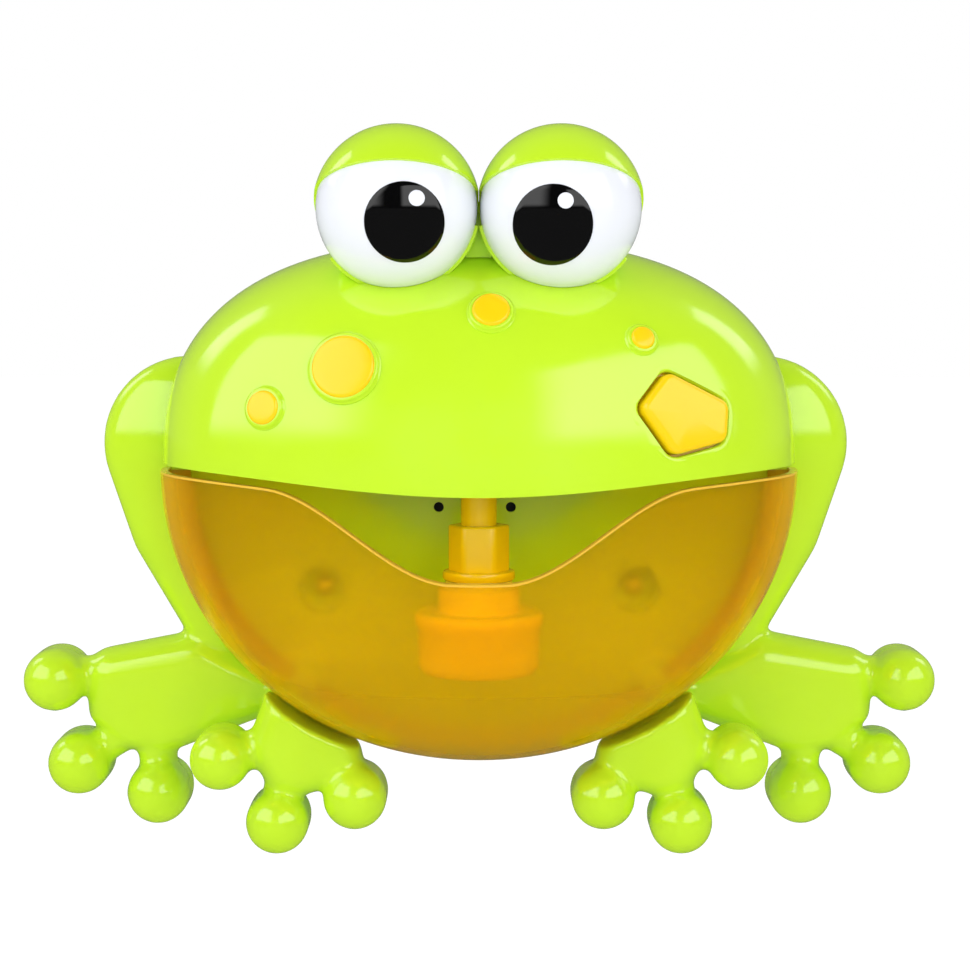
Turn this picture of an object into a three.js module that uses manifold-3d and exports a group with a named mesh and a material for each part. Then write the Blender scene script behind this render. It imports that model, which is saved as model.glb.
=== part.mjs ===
// Bubble-blowing frog for a bath wall: a clamshell body with legs, a dome head, a clear bowl
// for a mouth, and a battery blower that pushes air down a nozzle into the bowl.
// Millimetres. +X to the viewer's right, +Y into the wall, +Z up; the wall plane is Y = 0.
import * as THREE from 'three';
import { ConvexGeometry } from 'three/addons/geometries/ConvexGeometry.js';
import { mergeVertices } from 'three/addons/utils/BufferGeometryUtils.js';
import Module from 'manifold-3d';

const wasm = await Module();
wasm.setup();

// Shared values
const WALL = 2.2;
const GAP = 0.3;
const FAR = 400;
const SCREW_SHANK = 1.3;
const SCREW_HEAD = 3;
const SCREW_HEAD_HEIGHT = 1.8;
const SCREW_HEAD_BEVEL = 0.6;
const SCREW_POINT = 1;
const SCREW_PLAY = 0.4;
const BOSS_WALL = 2.4;

// Clamshell body: back face, the plane where its halves meet, and the belly face
const BODY_BACK_Y = -8;
const BODY_PARTING_Y = -21;
const BELLY_Y = -34;
const BODY_EDGE_ROUND = 7;
const BODY_INSET = 1.6;

// Head dome, a superellipsoid cut by the belly plane and by the upper lip
const HEAD_HALF_WIDTH = 92.8;
const HEAD_HEIGHT = 65.9;
const HEAD_DEPTH = 61;
const HEAD_Z = 6;
const HEAD_SQUARENESS = 2.53;
const LIP_SIDE_Z = 7;
const LIP_DROOP = 6;

// Bowl, the lower half of the mouth, with a dipped lip, a low rear wall and a flange up its back edge
const BOWL_HALF_WIDTH = 93.7;
const BOWL_HEIGHT = 87.8;
const BOWL_DEPTH = 60.2;
const BOWL_Z = 6;
const BOWL_SQUARENESS = 2.04;
const BOWL_BACK_GAP = 1;
const BOWL_RIM_GAP = 2.4;
const BOWL_LIP_DIP = 21.6;
const BOWL_LIP_FLAT = 7.6;
const BOWL_LIP_REACH = 58.6;
const BOWL_REAR_WALL_Z = -54;
const BOWL_FLANGE = 8;
const BOWL_SLIDE_ANGLE = THREE.MathUtils.degToRad(3);
const BOWL_SLIDE = 110;

// Balls of the legs: distance out from the bowl's side, height over its lowest point, radius from the
// front and half depth; a toe's stalk starts at its root
const THIGH = [
  { out: -7.4, up: 92.8, radius: 26.2, half: 12.6 },
  { out: -9.2, up: 69.8, radius: 20.6, half: 12.4 },
  { out: -16.7, up: 38.8, radius: 11.5, half: 9 },
];
const PALM = [
  { out: -7.7, up: 26.6, radius: 8.5, half: 9.8 },
  { out: 18.3, up: 22, radius: 7.5, half: 9.4 },
  { out: 20.2, up: 11.4, radius: 5.5, half: 8.6 },
  { out: 12.3, up: 4.8, radius: 5.5, half: 8.6 },
  { out: 3.3, up: 3.8, radius: 6, half: 8.6 },
  { out: -33.7, up: 16.3, radius: 4.5, half: 8 },
];
const HIP = [
  { out: -39.2, up: 12.3, radius: 10.5, half: 13 },
  { out: -40.7, up: 21.8, radius: 10, half: 13 },
];
const HIP_Y = -25;
const REAR_TOES = [
  { rootOut: 18.3, rootUp: 20.8, out: 35.3, up: 20.9, radius: 9.2 },
  { rootOut: 13.3, rootUp: 5.8, out: 28.3, up: -4.7, radius: 9.2 },
  { rootOut: 5.6, rootUp: 3.8, out: 4.3, up: -13.8, radius: 9.2 },
];
const FRONT_LEG = [
  { out: -43.2, up: 23.8, radius: 10.5, half: 11 },
  { out: -41.7, up: 9.8, radius: 11, half: 10.5 },
  { out: -33.7, up: 4.8, radius: 8, half: 9.5 },
  { out: -38.2, up: -2.4, radius: 8.4, half: 9.5 },
];
const FRONT_TOES = [
  { rootOut: -33.7, rootUp: 4.8, out: -17.5, up: 1.3, radius: 8.7 },
  { rootOut: -38.7, rootUp: -1.2, out: -34.2, up: -17.4, radius: 9 },
  { rootOut: -42.7, rootUp: 2.6, out: -57.1, up: -10, radius: 9.1 },
];
const FRONT_LEG_Y = -44;
const TOE_STALK_ROOT = 6.4;
const TOE_STALK_TIP = 5.1;
const TOE_HALF_LENGTH = 5.2;

// Eyes: a white is a ball sunk into the dome, under a hood that is a shell round it. The hood is open in
// front, below its lid and ahead of its sides, and leaves a collar that rises towards the other eye
const EYE = { x: 22.7, y: -73, z: 79.4, radius: 22.35, wall: 2.2 };
const HOOD = { radius: 23.2, wall: 1.2 };
const LID = { tilt: THREE.MathUtils.degToRad(68), forward: -4.1 };
const HOOD_SIDE = { tilt: THREE.MathUtils.degToRad(41), forward: -2.9 };
const COLLAR = { frontY: -75, highZ: 74.5, lean: THREE.MathUtils.degToRad(12.5) };
const PUPIL_RADIUS = 10.8;
const GLINT_RADIUS = 2.15;
const INLAY = 0.6;
const PUPILS = { left: [-19.8, 74.9], right: [19.9, 74.2] };
const GLINTS = { left: [-16.4, 81.2], right: [23.2, 80.5] };

// Spots on the forehead: front-view place and disc radius, each on a raised boss
const SPOTS = [
  { name: 'spot_left_small', x: -58.4, z: 24.8, radius: 4.7 },
  { name: 'spot_left_large', x: -36.4, z: 35.9, radius: 8.7 },
  { name: 'spot_middle', x: 3.4, z: 50.9, radius: 5.2 },
  { name: 'spot_right_small', x: 44.5, z: 43.4, radius: 3.3 },
];
const SPOT_RIM = 1.2;
const SPOT_BOSS_HEIGHT = 1.6;
const SPOT_RECESS = 1.1;
const SPOT_PROUD = 0.4;

// Power button, pressed along the dome's normal: corners in from the head's side and over its middle
const BUTTON_CORNERS = [
  { fromSide: 41.6, up: 28.8 }, { fromSide: 49.2, up: 19.2 }, { fromSide: 39.9, up: 6 },
  { fromSide: 25, up: 9.6 }, { fromSide: 24.3, up: 20 },
];
const BUTTON_CORNER_ROUND = 2.6;
const BUTTON_PLAY = 0.6;
const BUTTON_TOP = 1.7;
const BUTTON_BEVEL = 0.8;
const BUTTON_FLANGE = 1.6;
const BUTTON_FLANGE_TOP = -4.6;
const BUTTON_FLANGE_THICK = 1.2;
const BUTTON_TRAVEL = 1.5;
const BUTTON_STEM = 2.6;
const BUTTON_STEM_END = -8.4;
const SWITCH_SIDE = 7;
const SWITCH_TOP = -10.2;
const SWITCH_HEIGHT = 5;
const PLUNGER_RADIUS = 1.6;
const PLUNGER_LENGTH = 3.6;
const HEAD_HOLE_DEPTH = 9;
const BOARD = { width: 50, height: 17, thick: 1.6 };
const BOARD_POST = 2.2;
const BOARD_POST_REACH = 22;

// Mouth roof, air duct, nozzle and diffuser on one upright axis
const ROOF_Z = 7;
const ROOF_THICK = 1.6;
const NOZZLE_Y = -63.5;
const DUCT = { outer: 5.1, bore: 3.4, flange: 8.4, flangeThick: 1.6, low: -18 };
const SLEEVE = { corner: 9, top: -9.5, low: -22.5, flange: 10.3, flangeLow: -25.1 };
const CUP = { neck: 9.6, boss: 11.6, bossTop: -27, top: -34.1, radius: 18.3, lowRadius: 17.2, low: -51.5 };
const CUP_WALL = 1.8;
const CUP_EDGE_ROUND = 2.4;
const CUP_SHOULDER = 1.2;
const CUP_FOOT = 0.7;
const CUP_FOOT_LIP = 0.4;
const PLATE_THICK = 1.6;
const PLATE_HOLE = 1.1;
const PLATE_HOLE_RING = 9;
const PLATE_HOLES = 6;

// Blower: volute with its outlet over the duct, impeller and motor on a front-to-back axis
const FAN_X = -14;
const FAN_Z = 34;
const FAN_WALL = 1.6;
const VOLUTE_RADIUS = 20;
const VOLUTE_HALF_DEPTH = 8;
const OUTLET_HALF_WIDTH = 5;
const INTAKE_RADIUS = 9;
const IMPELLER_RADIUS = 15;
const IMPELLER_PLAY = 1.2;
const HUB_RADIUS = 4;
const BLADES = 8;
const BLADE_THICK = 1.2;
const BLADE_ROOT = 2;
const SHAFT_RADIUS = 1.1;
const MOTOR_RADIUS = 10;
const MOTOR_LENGTH = 17.5;
const MOTOR_BOSS = 3;

// Battery box in the body, its door in the back, three cells and their springs
const BATTERY_Z = -22;
const CELL_RADIUS = 7.1;
const CELL_LENGTH = 48.5;
const CELL_NUB = 2.7;
const CELL_NUB_LENGTH = 1.5;
const CELL_PITCH = 15.6;
const CELL_PLAY = 0.5;
const SPRING_ROOM = 5;
const SPRING_WIRE = 0.45;
const SPRING_TURNS = 3;
const SPRING_STEPS = 8;
const SPRING_SIDES = 4;
const SPRING_WIDE = 4.4;
const SPRING_NARROW = 2.8;
const BOX_WALL = 1.8;
const DOOR_MARGIN = 2.2;
const DOOR_PLAY = 0.4;
const DOOR_LUG = 10;
const DOOR_SCREW_SINK = 1;
const DOOR_SCREW_LENGTH = 10;
const GASKET_WIDTH = 2.4;
const GASKET_THICK = 0.9;

// Speaker, suction cups and screws
const SPEAKER = { x: 0, z: 38, radius: 14, magnet: 7.7, depth: 8, rim: 2 };
const GRILLE_HOLE = 1.5;
const GRILLE_RING = 7;
const GRILLE_HOLES = 6;
const CUP_UPPER = { x: 36, z: 46 };
const CUP_LOWER = { fromSide: 35.7, z: -28 };
const SUCTION = {
  lip: 16, lipWidth: 2.6, lipThick: 1, hollow: 2.6, bend: 1.95, neck: 5, stem: 3.4, head: 4.6,
};
const CASE_SCREW = { fromSide: 21, z: 32, length: 18 };
const BELLY_WELL = { x: 46.9, z: -32.3, radius: 7.2, screw: 12 };
const HEAD_SCREW = { fromSide: 31, fromTop: 22, length: 12, reach: 16, rib: 2 };
const LEG_SCREW = { fromSide: 39.7, up: 11.8, length: 9.5 };
const VENT = { x: 10.75, z: -7.4, radius: 1.5 };

const green = { color: 0x9be01e, roughness: 0.2, metalness: 0 };
const yellow = { color: 0xffc814, roughness: 0.25, metalness: 0 };
const orange = { color: 0xf0a010, roughness: 0.15, metalness: 0, transparent: true, opacity: 0.6 };
const white = { color: 0xf4f5f8, roughness: 0.15, metalness: 0 };
const black = { color: 0x0a0a0b, roughness: 0.1, metalness: 0 };
const darkPlastic = { color: 0x2a2c2e, roughness: 0.5, metalness: 0 };
const clearRubber = { color: 0xd8e4e2, roughness: 0.3, metalness: 0 };
const sealRubber = { color: 0x3a3d40, roughness: 0.8, metalness: 0 };
const steel = { color: 0xb9bcc0, roughness: 0.3, metalness: 1 };
const boardGreen = { color: 0x1c6b3a, roughness: 0.5, metalness: 0 };
const cellWrap = { color: 0x2b6fb0, roughness: 0.4, metalness: 0.2 };

const frog = new THREE.Group();
const sides = { left: -1, right: 1 };
const caseScrewX = HEAD_HALF_WIDTH - CASE_SCREW.fromSide;
const headScrewX = HEAD_HALF_WIDTH - HEAD_SCREW.fromSide;
const headScrewZ = HEAD_Z + HEAD_HEIGHT - HEAD_SCREW.fromTop;
const bowlLow = BOWL_Z - BOWL_HEIGHT;
const legScrewX = BOWL_HALF_WIDTH - LEG_SCREW.fromSide;
const legScrewZ = bowlLow + LEG_SCREW.up;
const lowerCupX = BOWL_HALF_WIDTH - CUP_LOWER.fromSide;
const cupPlaces = [
  [-CUP_UPPER.x, CUP_UPPER.z], [CUP_UPPER.x, CUP_UPPER.z],
  [-lowerCupX, CUP_LOWER.z], [lowerCupX, CUP_LOWER.z],
];

// A closed geometry as a solid that can be joined and cut, with its faces pointing out
function solid(geometry) {
  geometry.deleteAttribute('normal');
  geometry.deleteAttribute('uv');
  const merged = mergeVertices(geometry, 1e-4);
  const index = merged.index.array;
  const corners = [];
  for (let i = 0; i < index.length; i += 3) {
    const [a, b, c] = [index[i], index[i + 1], index[i + 2]];
    if (a !== b && b !== c && c !== a) corners.push(a, b, c);
  }
  const vertProperties = new Float32Array(merged.attributes.position.array);
  const make = (list) => new wasm.Manifold(
    new wasm.Mesh({ numProp: 3, vertProperties, triVerts: new Uint32Array(list) }));
  const body = make(corners);
  return body.volume() > 0 ? body : make(corners.reverse());
}

// One finished sub-part as a named mesh
function add(name, body, look) {
  const { vertProperties, triVerts } = body.getMesh();
  const geometry = new THREE.BufferGeometry();
  geometry.setAttribute('position', new THREE.BufferAttribute(vertProperties, 3));
  geometry.setIndex(new THREE.BufferAttribute(triVerts, 1));
  geometry.computeVertexNormals();
  const mesh = new THREE.Mesh(geometry, new THREE.MeshStandardMaterial(look));
  mesh.name = name;
  frog.add(mesh);
}

const join = (bodies) => bodies.reduce((all, body) => all.add(body));
const cut = (body, tools) => tools.reduce((rest, tool) => rest.subtract(tool), body);

function block(x0, x1, y0, y1, z0, z1) {
  const box = new THREE.BoxGeometry(x1 - x0, y1 - y0, z1 - z0);
  return solid(box.translate((x0 + x1) / 2, (y0 + y1) / 2, (z0 + z1) / 2));
}
const behind = (y) => block(-FAR, FAR, y, FAR, -FAR, FAR);
const inFront = (y) => block(-FAR, FAR, -FAR, y, -FAR, FAR);
const above = (z) => block(-FAR, FAR, -FAR, FAR, z, FAR);

// A round bar along Y
function bar(x, z, y0, y1, radius, segments = 10) {
  const round = new THREE.CylinderGeometry(radius, radius, Math.abs(y1 - y0), segments);
  return solid(round.translate(x, (y0 + y1) / 2, z));
}

// A turned body: [radius, height] pairs from axis to axis, or round a closed ring
function turned(profile, segments = 14) {
  const points = profile.map(([r, h]) => new THREE.Vector2(r, h));
  return new THREE.LatheGeometry(points, segments);
}
const turnedY = (profile, x, z, segments) => solid(turned(profile, segments).translate(x, 0, z));
const turnedZ = (profile, x, y, segments) => solid(
  turned(profile, segments).rotateX(Math.PI / 2).translate(x, y, 0));
const closed = (profile) => [...profile, profile[0]];

// The convex skin round a few ellipsoids, each { x, y, z, rx, ry, rz }
function skin(balls, around = 10, rings = 5) {
  const points = [];
  const unit = new THREE.SphereGeometry(1, around, rings).rotateX(Math.PI / 2).attributes.position;
  for (const ball of balls) {
    for (let i = 0; i < unit.count; i += 1) {
      const p = new THREE.Vector3().fromBufferAttribute(unit, i);
      p.multiply(new THREE.Vector3(ball.rx, ball.ry, ball.rz));
      points.push(p.add(new THREE.Vector3(ball.x, ball.y, ball.z)));
    }
  }
  return solid(new ConvexGeometry(points));
}

function ellipsoid(x, y, z, rx, ry, rz, around = 18, rings = 9) {
  const ball = new THREE.SphereGeometry(1, around, rings).rotateX(Math.PI / 2);
  return solid(ball.scale(rx, ry, rz).translate(x, y, z));
}

// Half of a superellipsoid that bulges to the front from the belly plane, with a straight skirt
// behind it; squareness is that of its outline, and every section to the front follows the head's
function bulge({ halfWidth, height, depth, z, squareness }, inset, around, rings) {
  const a = halfWidth - inset;
  const b = depth - inset;
  const c = height - inset;
  const bend = (value, exponent) => Math.sign(value) * Math.abs(value) ** exponent;
  const rows = [[1, BELLY_Y + BODY_EDGE_ROUND]];
  for (let ring = 0; ring < rings; ring += 1) {
    const phi = (ring / rings) * Math.PI / 2;
    const shrink = Math.cos(phi) ** (2 / HEAD_SQUARENESS);
    rows.push([shrink, BELLY_Y - b * Math.sin(phi) ** (2 / HEAD_SQUARENESS)]);
  }
  const positions = [0, rows[0][1], z, 0, BELLY_Y - b, z];
  for (const [shrink, y] of rows) {
    for (let i = 0; i < around; i += 1) {
      const theta = (i / around) * 2 * Math.PI;
      const x = a * shrink * bend(Math.cos(theta), 2 / squareness);
      positions.push(x, y, z + c * shrink * bend(Math.sin(theta), 2 / squareness));
    }
  }
  const at = (row, i) => 2 + row * around + (i % around);
  const index = [];
  for (let i = 0; i < around; i += 1) {
    index.push(0, at(0, i + 1), at(0, i));
    for (let row = 0; row + 1 < rows.length; row += 1) {
      index.push(at(row, i), at(row, i + 1), at(row + 1, i + 1));
      index.push(at(row, i), at(row + 1, i + 1), at(row + 1, i));
    }
    index.push(1, at(rows.length - 1, i), at(rows.length - 1, i + 1));
  }
  const geometry = new THREE.BufferGeometry();
  geometry.setAttribute('position', new THREE.Float32BufferAttribute(positions, 3));
  geometry.setIndex(index);
  return solid(geometry);
}

const head = {
  halfWidth: HEAD_HALF_WIDTH, height: HEAD_HEIGHT, depth: HEAD_DEPTH, z: HEAD_Z,
  squareness: HEAD_SQUARENESS,
};
const bowl = {
  halfWidth: BOWL_HALF_WIDTH, height: BOWL_HEIGHT, depth: BOWL_DEPTH, z: BOWL_Z,
  squareness: BOWL_SQUARENESS,
};
const headBulge = (inset, around = 44, rings = 8) => bulge(head, inset, around, rings);
const bowlBulge = (inset, around = 44, rings = 8) => bulge(bowl, inset, around, rings);

// Point, outward normal and local frame on the head's surface at a front-view place
function onHead(x, z) {
  const n = HEAD_SQUARENESS;
  const part = Math.abs(x / HEAD_HALF_WIDTH) ** n + Math.abs((z - HEAD_Z) / HEAD_HEIGHT) ** n;
  const forward = HEAD_DEPTH * (1 - part) ** (1 / n);
  const slope = (value, size) => Math.sign(value) * Math.abs(value) ** (n - 1) / size ** n;
  const normal = new THREE.Vector3(
    slope(x, HEAD_HALF_WIDTH), slope(-forward, HEAD_DEPTH), slope(z - HEAD_Z, HEAD_HEIGHT)).normalize();
  const point = new THREE.Vector3(x, BELLY_Y - forward, z);
  const across = new THREE.Vector3(0, 0, 1).cross(normal).normalize();
  const up = normal.clone().cross(across);
  const matrix = new THREE.Matrix4().makeBasis(across, up, normal).setPosition(point);
  return { point, normal, across, up, matrix };
}

// Solids standing on the head's surface, between two heights along its normal
function disc(place, radius, low, high, segments = 14) {
  const round = new THREE.CylinderGeometry(radius, radius, high - low, segments).rotateX(Math.PI / 2);
  return solid(round.translate(0, 0, (low + high) / 2).applyMatrix4(place.matrix));
}
function prism(place, shape, low, high) {
  const form = new THREE.ExtrudeGeometry(shape, {
    depth: high - low, bevelEnabled: false, curveSegments: 2,
  });
  return solid(form.translate(0, 0, low).applyMatrix4(place.matrix));
}
function slab(place, x0, x1, y0, y1, low, high) {
  const box = new THREE.BoxGeometry(x1 - x0, y1 - y0, high - low);
  box.translate((x0 + x1) / 2, (y0 + y1) / 2, (low + high) / 2);
  return solid(box.applyMatrix4(place.matrix));
}

// Heights of the upper lip and of the bowl's rim at a distance from the middle plane
function lipZ(x) {
  const along = Math.min(1, Math.abs(x) / HEAD_HALF_WIDTH);
  return LIP_SIDE_Z - LIP_DROOP * Math.cos((Math.PI / 2) * along) ** 2;
}
function bowlRimZ(x) {
  const rise = THREE.MathUtils.smoothstep(Math.abs(x), BOWL_LIP_FLAT, BOWL_LIP_REACH);
  return lipZ(x) - BOWL_RIM_GAP - BOWL_LIP_DIP * (1 - rise);
}

// Everything on one side of a height that varies across the width, from front to back
function curtain(heightAt, farZ, steps = 32) {
  const reach = Math.max(HEAD_HALF_WIDTH, BOWL_HALF_WIDTH) + BODY_EDGE_ROUND;
  const points = [new THREE.Vector2(reach, farZ), new THREE.Vector2(-reach, farZ)];
  for (let i = 0; i <= steps; i += 1) {
    const x = -reach + (2 * reach * i) / steps;
    points.push(new THREE.Vector2(x, heightAt(x)));
  }
  const form = new THREE.ExtrudeGeometry(new THREE.Shape(points), { depth: FAR, bevelEnabled: false });
  return solid(form.rotateX(Math.PI / 2).translate(0, FAR / 2, 0));
}

// Body outline from the front: the head's curve above, the bowl's below
function bodyOutline(inset, steps) {
  const points = [];
  const arc = (size, from) => {
    for (let i = 0; i <= steps; i += 1) {
      const theta = from + (i / steps) * Math.PI;
      const bend = (value) => Math.sign(value) * Math.abs(value) ** (2 / size.squareness);
      points.push(new THREE.Vector2(
        (size.halfWidth - inset) * bend(Math.cos(theta)),
        size.z + (size.height - inset) * bend(Math.sin(theta))));
    }
  };
  arc(head, 0);
  arc(bowl, Math.PI);
  return new THREE.Shape(points);
}
function bodyBlock(inset, steps, bevelSegments) {
  const round = BODY_EDGE_ROUND - inset + BODY_INSET;
  const form = new THREE.ExtrudeGeometry(bodyOutline(inset, steps), {
    depth: -BELLY_Y, bevelThickness: round, bevelSize: round, bevelOffset: -round, bevelSegments,
  });
  const back = BODY_BACK_Y - (inset - BODY_INSET);
  return solid(form.rotateX(Math.PI / 2).translate(0, back - round, 0));
}

const outFromSide = (side, out) => side * (BOWL_HALF_WIDTH + out);
const ballsAt = (list, side, y, inset) => list.map(({ out, up, radius, half }) => ({
  x: outFromSide(side, out), y, z: bowlLow + up, rx: radius - inset, ry: half - inset, rz: radius - inset,
}));
// A toe: a stalk that thins out, and a tip that is a ball drawn out from front to back
const toeBall = (side, out, up, y, r) => ({
  x: outFromSide(side, out), y, z: bowlLow + up, rx: r, ry: r, rz: r,
});
function toeTip({ out, up, radius }, side, y, inset, around, rings) {
  return skin([-TOE_HALF_LENGTH, TOE_HALF_LENGTH].map(
    (along) => toeBall(side, out, up, y + along, radius - inset)), around, rings);
}
function toe(each, side, y) {
  const stalk = skin([
    toeBall(side, each.rootOut, each.rootUp, y, TOE_STALK_ROOT),
    toeBall(side, each.out, each.up, y, TOE_STALK_TIP),
  ], 8, 4);
  return stalk.add(toeTip(each, side, y, 0, 12, 5));
}
const toeHollow = (each, side, y) => toeTip(each, side, y, WALL, 6, 4);

// A screw along Y: place of the head's seat, pointing to +Y or -Y
function screw(name, x, z, seatY, direction, length) {
  const h = (distance) => seatY + direction * distance;
  add(name, turnedY([
    [0, h(-SCREW_HEAD_HEIGHT)], [SCREW_HEAD - SCREW_HEAD_BEVEL, h(-SCREW_HEAD_HEIGHT)],
    [SCREW_HEAD, h(-SCREW_HEAD_HEIGHT / 2)], [SCREW_HEAD, h(0)], [SCREW_SHANK, h(0)],
    [SCREW_SHANK, h(length - SCREW_POINT)], [0, h(length)],
  ], x, z, 8), steel);
}
const screwHole = SCREW_SHANK + SCREW_PLAY;
const screwBoss = screwHole + BOSS_WALL;
const seatBoss = SCREW_HEAD + SCREW_PLAY + BOSS_WALL / 2;

// Body shells
const bodyOuter = [bodyBlock(BODY_INSET, 18, 2)];
const bodyInner = [bodyBlock(BODY_INSET + WALL, 12, 1)];
for (const side of Object.values(sides)) {
  for (const [limb, y] of [[THIGH, BODY_PARTING_Y], [PALM, BODY_PARTING_Y], [HIP, HIP_Y]]) {
    bodyOuter.push(skin(ballsAt(limb, side, y, 0)));
    bodyInner.push(skin(ballsAt(limb, side, y, WALL), 6, 4));
  }
  for (const each of REAR_TOES) {
    bodyOuter.push(toe(each, side, BODY_PARTING_Y));
    bodyInner.push(toeHollow(each, side, BODY_PARTING_Y));
  }
}
const bodyShell = join(bodyOuter).intersect(behind(BELLY_Y))
  .subtract(join(bodyInner).intersect(behind(BELLY_Y + WALL)));

const rearFace = BODY_PARTING_Y + GAP / 2;
const frontFace = BODY_PARTING_Y - GAP / 2;
const bodyBackInner = BODY_BACK_Y - WALL;
const bellyInner = BELLY_Y + WALL;

// Battery box sizes, shared by the box, the door and the opening in the back
const cellRoomX = CELL_LENGTH + CELL_NUB_LENGTH + SPRING_ROOM + 2 * CELL_PLAY;
const cellRoomZ = 2 * CELL_PITCH + 2 * CELL_RADIUS + 2 * CELL_PLAY;
const boxRearY = bodyBackInner - GAP;
const cellY = boxRearY - GASKET_THICK - DOOR_PLAY - CELL_RADIUS - CELL_PLAY;
const boxFloorY = cellY - CELL_RADIUS - CELL_PLAY;
const doorHalfX = cellRoomX / 2 - DOOR_MARGIN;
const doorHalfZ = cellRoomZ / 2 - DOOR_MARGIN / 2;
const doorTabX = cellRoomX / 2 + BOX_WALL + DOOR_LUG;
const doorScrewX = doorTabX - DOOR_LUG / 2;
const doorScrewSeat = BODY_BACK_Y - DOOR_SCREW_SINK;
// The door's outline shrunk by a margin: a panel, and the same with a tab for its screw
const doorFrame = (shrink, y0, y1) => block(-doorHalfX + shrink, doorHalfX - shrink, y0, y1,
  BATTERY_Z - doorHalfZ + shrink, BATTERY_Z + doorHalfZ - shrink);
const doorPanel = (shrink, y0, y1) => doorFrame(shrink, y0, y1).add(block(0, doorTabX - shrink, y0, y1,
  BATTERY_Z - DOOR_LUG / 2 + shrink, BATTERY_Z + DOOR_LUG / 2 - shrink));

const wellFloor = frontFace - WALL;
const caseScrewSeat = BODY_BACK_Y - WALL - SCREW_HEAD_HEIGHT;
const cupStemHole = SUCTION.stem + GAP;
const eachSide = (make) => Object.values(sides).map(make);

const grille = [bar(SPEAKER.x, SPEAKER.z, bodyBackInner - GAP, 0, GRILLE_HOLE, 6)];
for (let i = 0; i < GRILLE_HOLES; i += 1) {
  const turn = (i / GRILLE_HOLES) * 2 * Math.PI;
  grille.push(bar(SPEAKER.x + GRILLE_RING * Math.cos(turn), SPEAKER.z + GRILLE_RING * Math.sin(turn),
    bodyBackInner - GAP, 0, GRILLE_HOLE, 6));
}
let rearShell = bodyShell.intersect(behind(rearFace));
rearShell = join([rearShell,
  ...eachSide((s) => bar(s * caseScrewX, CASE_SCREW.z, rearFace, BODY_BACK_Y - WALL / 2, seatBoss)),
  ...eachSide((s) => bar(s * BELLY_WELL.x, BELLY_WELL.z, rearFace, BODY_BACK_Y - WALL / 2, screwBoss)),
]);
rearShell = cut(rearShell, [
  doorPanel(0, boxRearY, 0),
  ...cupPlaces.map(([x, z]) => bar(x, z, bodyBackInner - GAP, 0, cupStemHole, 12)),
  ...eachSide((s) => bar(s * caseScrewX, CASE_SCREW.z, caseScrewSeat, 0, SCREW_HEAD + SCREW_PLAY)),
  ...eachSide((s) => bar(s * caseScrewX, CASE_SCREW.z, rearFace - GAP, 0, screwHole, 8)),
  ...eachSide((s) => bar(s * BELLY_WELL.x, BELLY_WELL.z, rearFace - GAP, bodyBackInner, screwHole, 8)),
  ...grille,
]);
add('rear_shell', rearShell, green);

let frontShell = bodyShell.intersect(inFront(frontFace));
frontShell = join([frontShell,
  ...eachSide((s) => bar(s * caseScrewX, CASE_SCREW.z, BELLY_Y + WALL / 2, frontFace, screwBoss)),
  ...eachSide((s) => bar(s * BELLY_WELL.x, BELLY_WELL.z, BELLY_Y + WALL / 2, frontFace,
    BELLY_WELL.radius + WALL, 16)),
]);
frontShell = cut(frontShell, [
  ...eachSide((s) => bar(s * caseScrewX, CASE_SCREW.z, bellyInner, rearFace, screwHole, 8)),
  ...eachSide((s) => bar(s * BELLY_WELL.x, BELLY_WELL.z, -FAR, wellFloor, BELLY_WELL.radius, 16)),
  ...eachSide((s) => bar(s * BELLY_WELL.x, BELLY_WELL.z, -FAR, rearFace, screwHole, 8)),
  ...eachSide((s) => bar(s * headScrewX, headScrewZ, -FAR, bellyInner + GAP, screwHole, 8)),
  ...eachSide((s) => bar(s * legScrewX, legScrewZ, -FAR, bellyInner + GAP, screwHole, 8)),
  ...eachSide((s) => bar(s * VENT.x, VENT.z, -FAR, bellyInner + GAP, VENT.radius, 12)),
]);
add('front_shell', frontShell, green);

// Front legs, each in two halves, scooped out for the bowl and its way out
const slideStep = new THREE.Vector3(0, -Math.cos(BOWL_SLIDE_ANGLE), -Math.sin(BOWL_SLIDE_ANGLE));
function bowlSweep() {
  const points = [];
  const shape = bowlBulge(-GAP).intersect(inFront(BELLY_Y)).getMesh();
  for (let i = 0; i < shape.vertProperties.length; i += 3) {
    const p = new THREE.Vector3().fromArray(shape.vertProperties, i);
    points.push(p, p.clone().addScaledVector(slideStep, BOWL_SLIDE));
  }
  return solid(new ConvexGeometry(points));
}
const sweep = bowlSweep();
const legBackFace = BELLY_Y - GAP;
for (const [name, side] of Object.entries(sides)) {
  const outer = join([skin(ballsAt(FRONT_LEG, side, FRONT_LEG_Y, 0)),
    ...FRONT_TOES.map((each) => toe(each, side, FRONT_LEG_Y))]);
  const inner = join([skin(ballsAt(FRONT_LEG, side, FRONT_LEG_Y, WALL), 6, 4),
    ...FRONT_TOES.map((each) => toeHollow(each, side, FRONT_LEG_Y))]);
  const hollow = inner.intersect(inFront(legBackFace - WALL)).subtract(sweep.translate([0, 0, -WALL]));
  const post = bar(side * legScrewX, legScrewZ, legBackFace - WALL / 2, FRONT_LEG_Y + GAP, screwBoss);
  const screwWay = bar(side * legScrewX, legScrewZ, FRONT_LEG_Y + WALL, FAR, screwHole, 8);
  const leg = outer.intersect(inFront(legBackFace)).subtract(hollow).subtract(sweep);
  const back = leg.intersect(behind(FRONT_LEG_Y + GAP / 2)).add(post).subtract(screwWay).subtract(sweep);
  add(`front_leg_${name}_back`, back, green);
  add(`front_leg_${name}_front`, leg.intersect(inFront(FRONT_LEG_Y - GAP / 2)), green);
}

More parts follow.
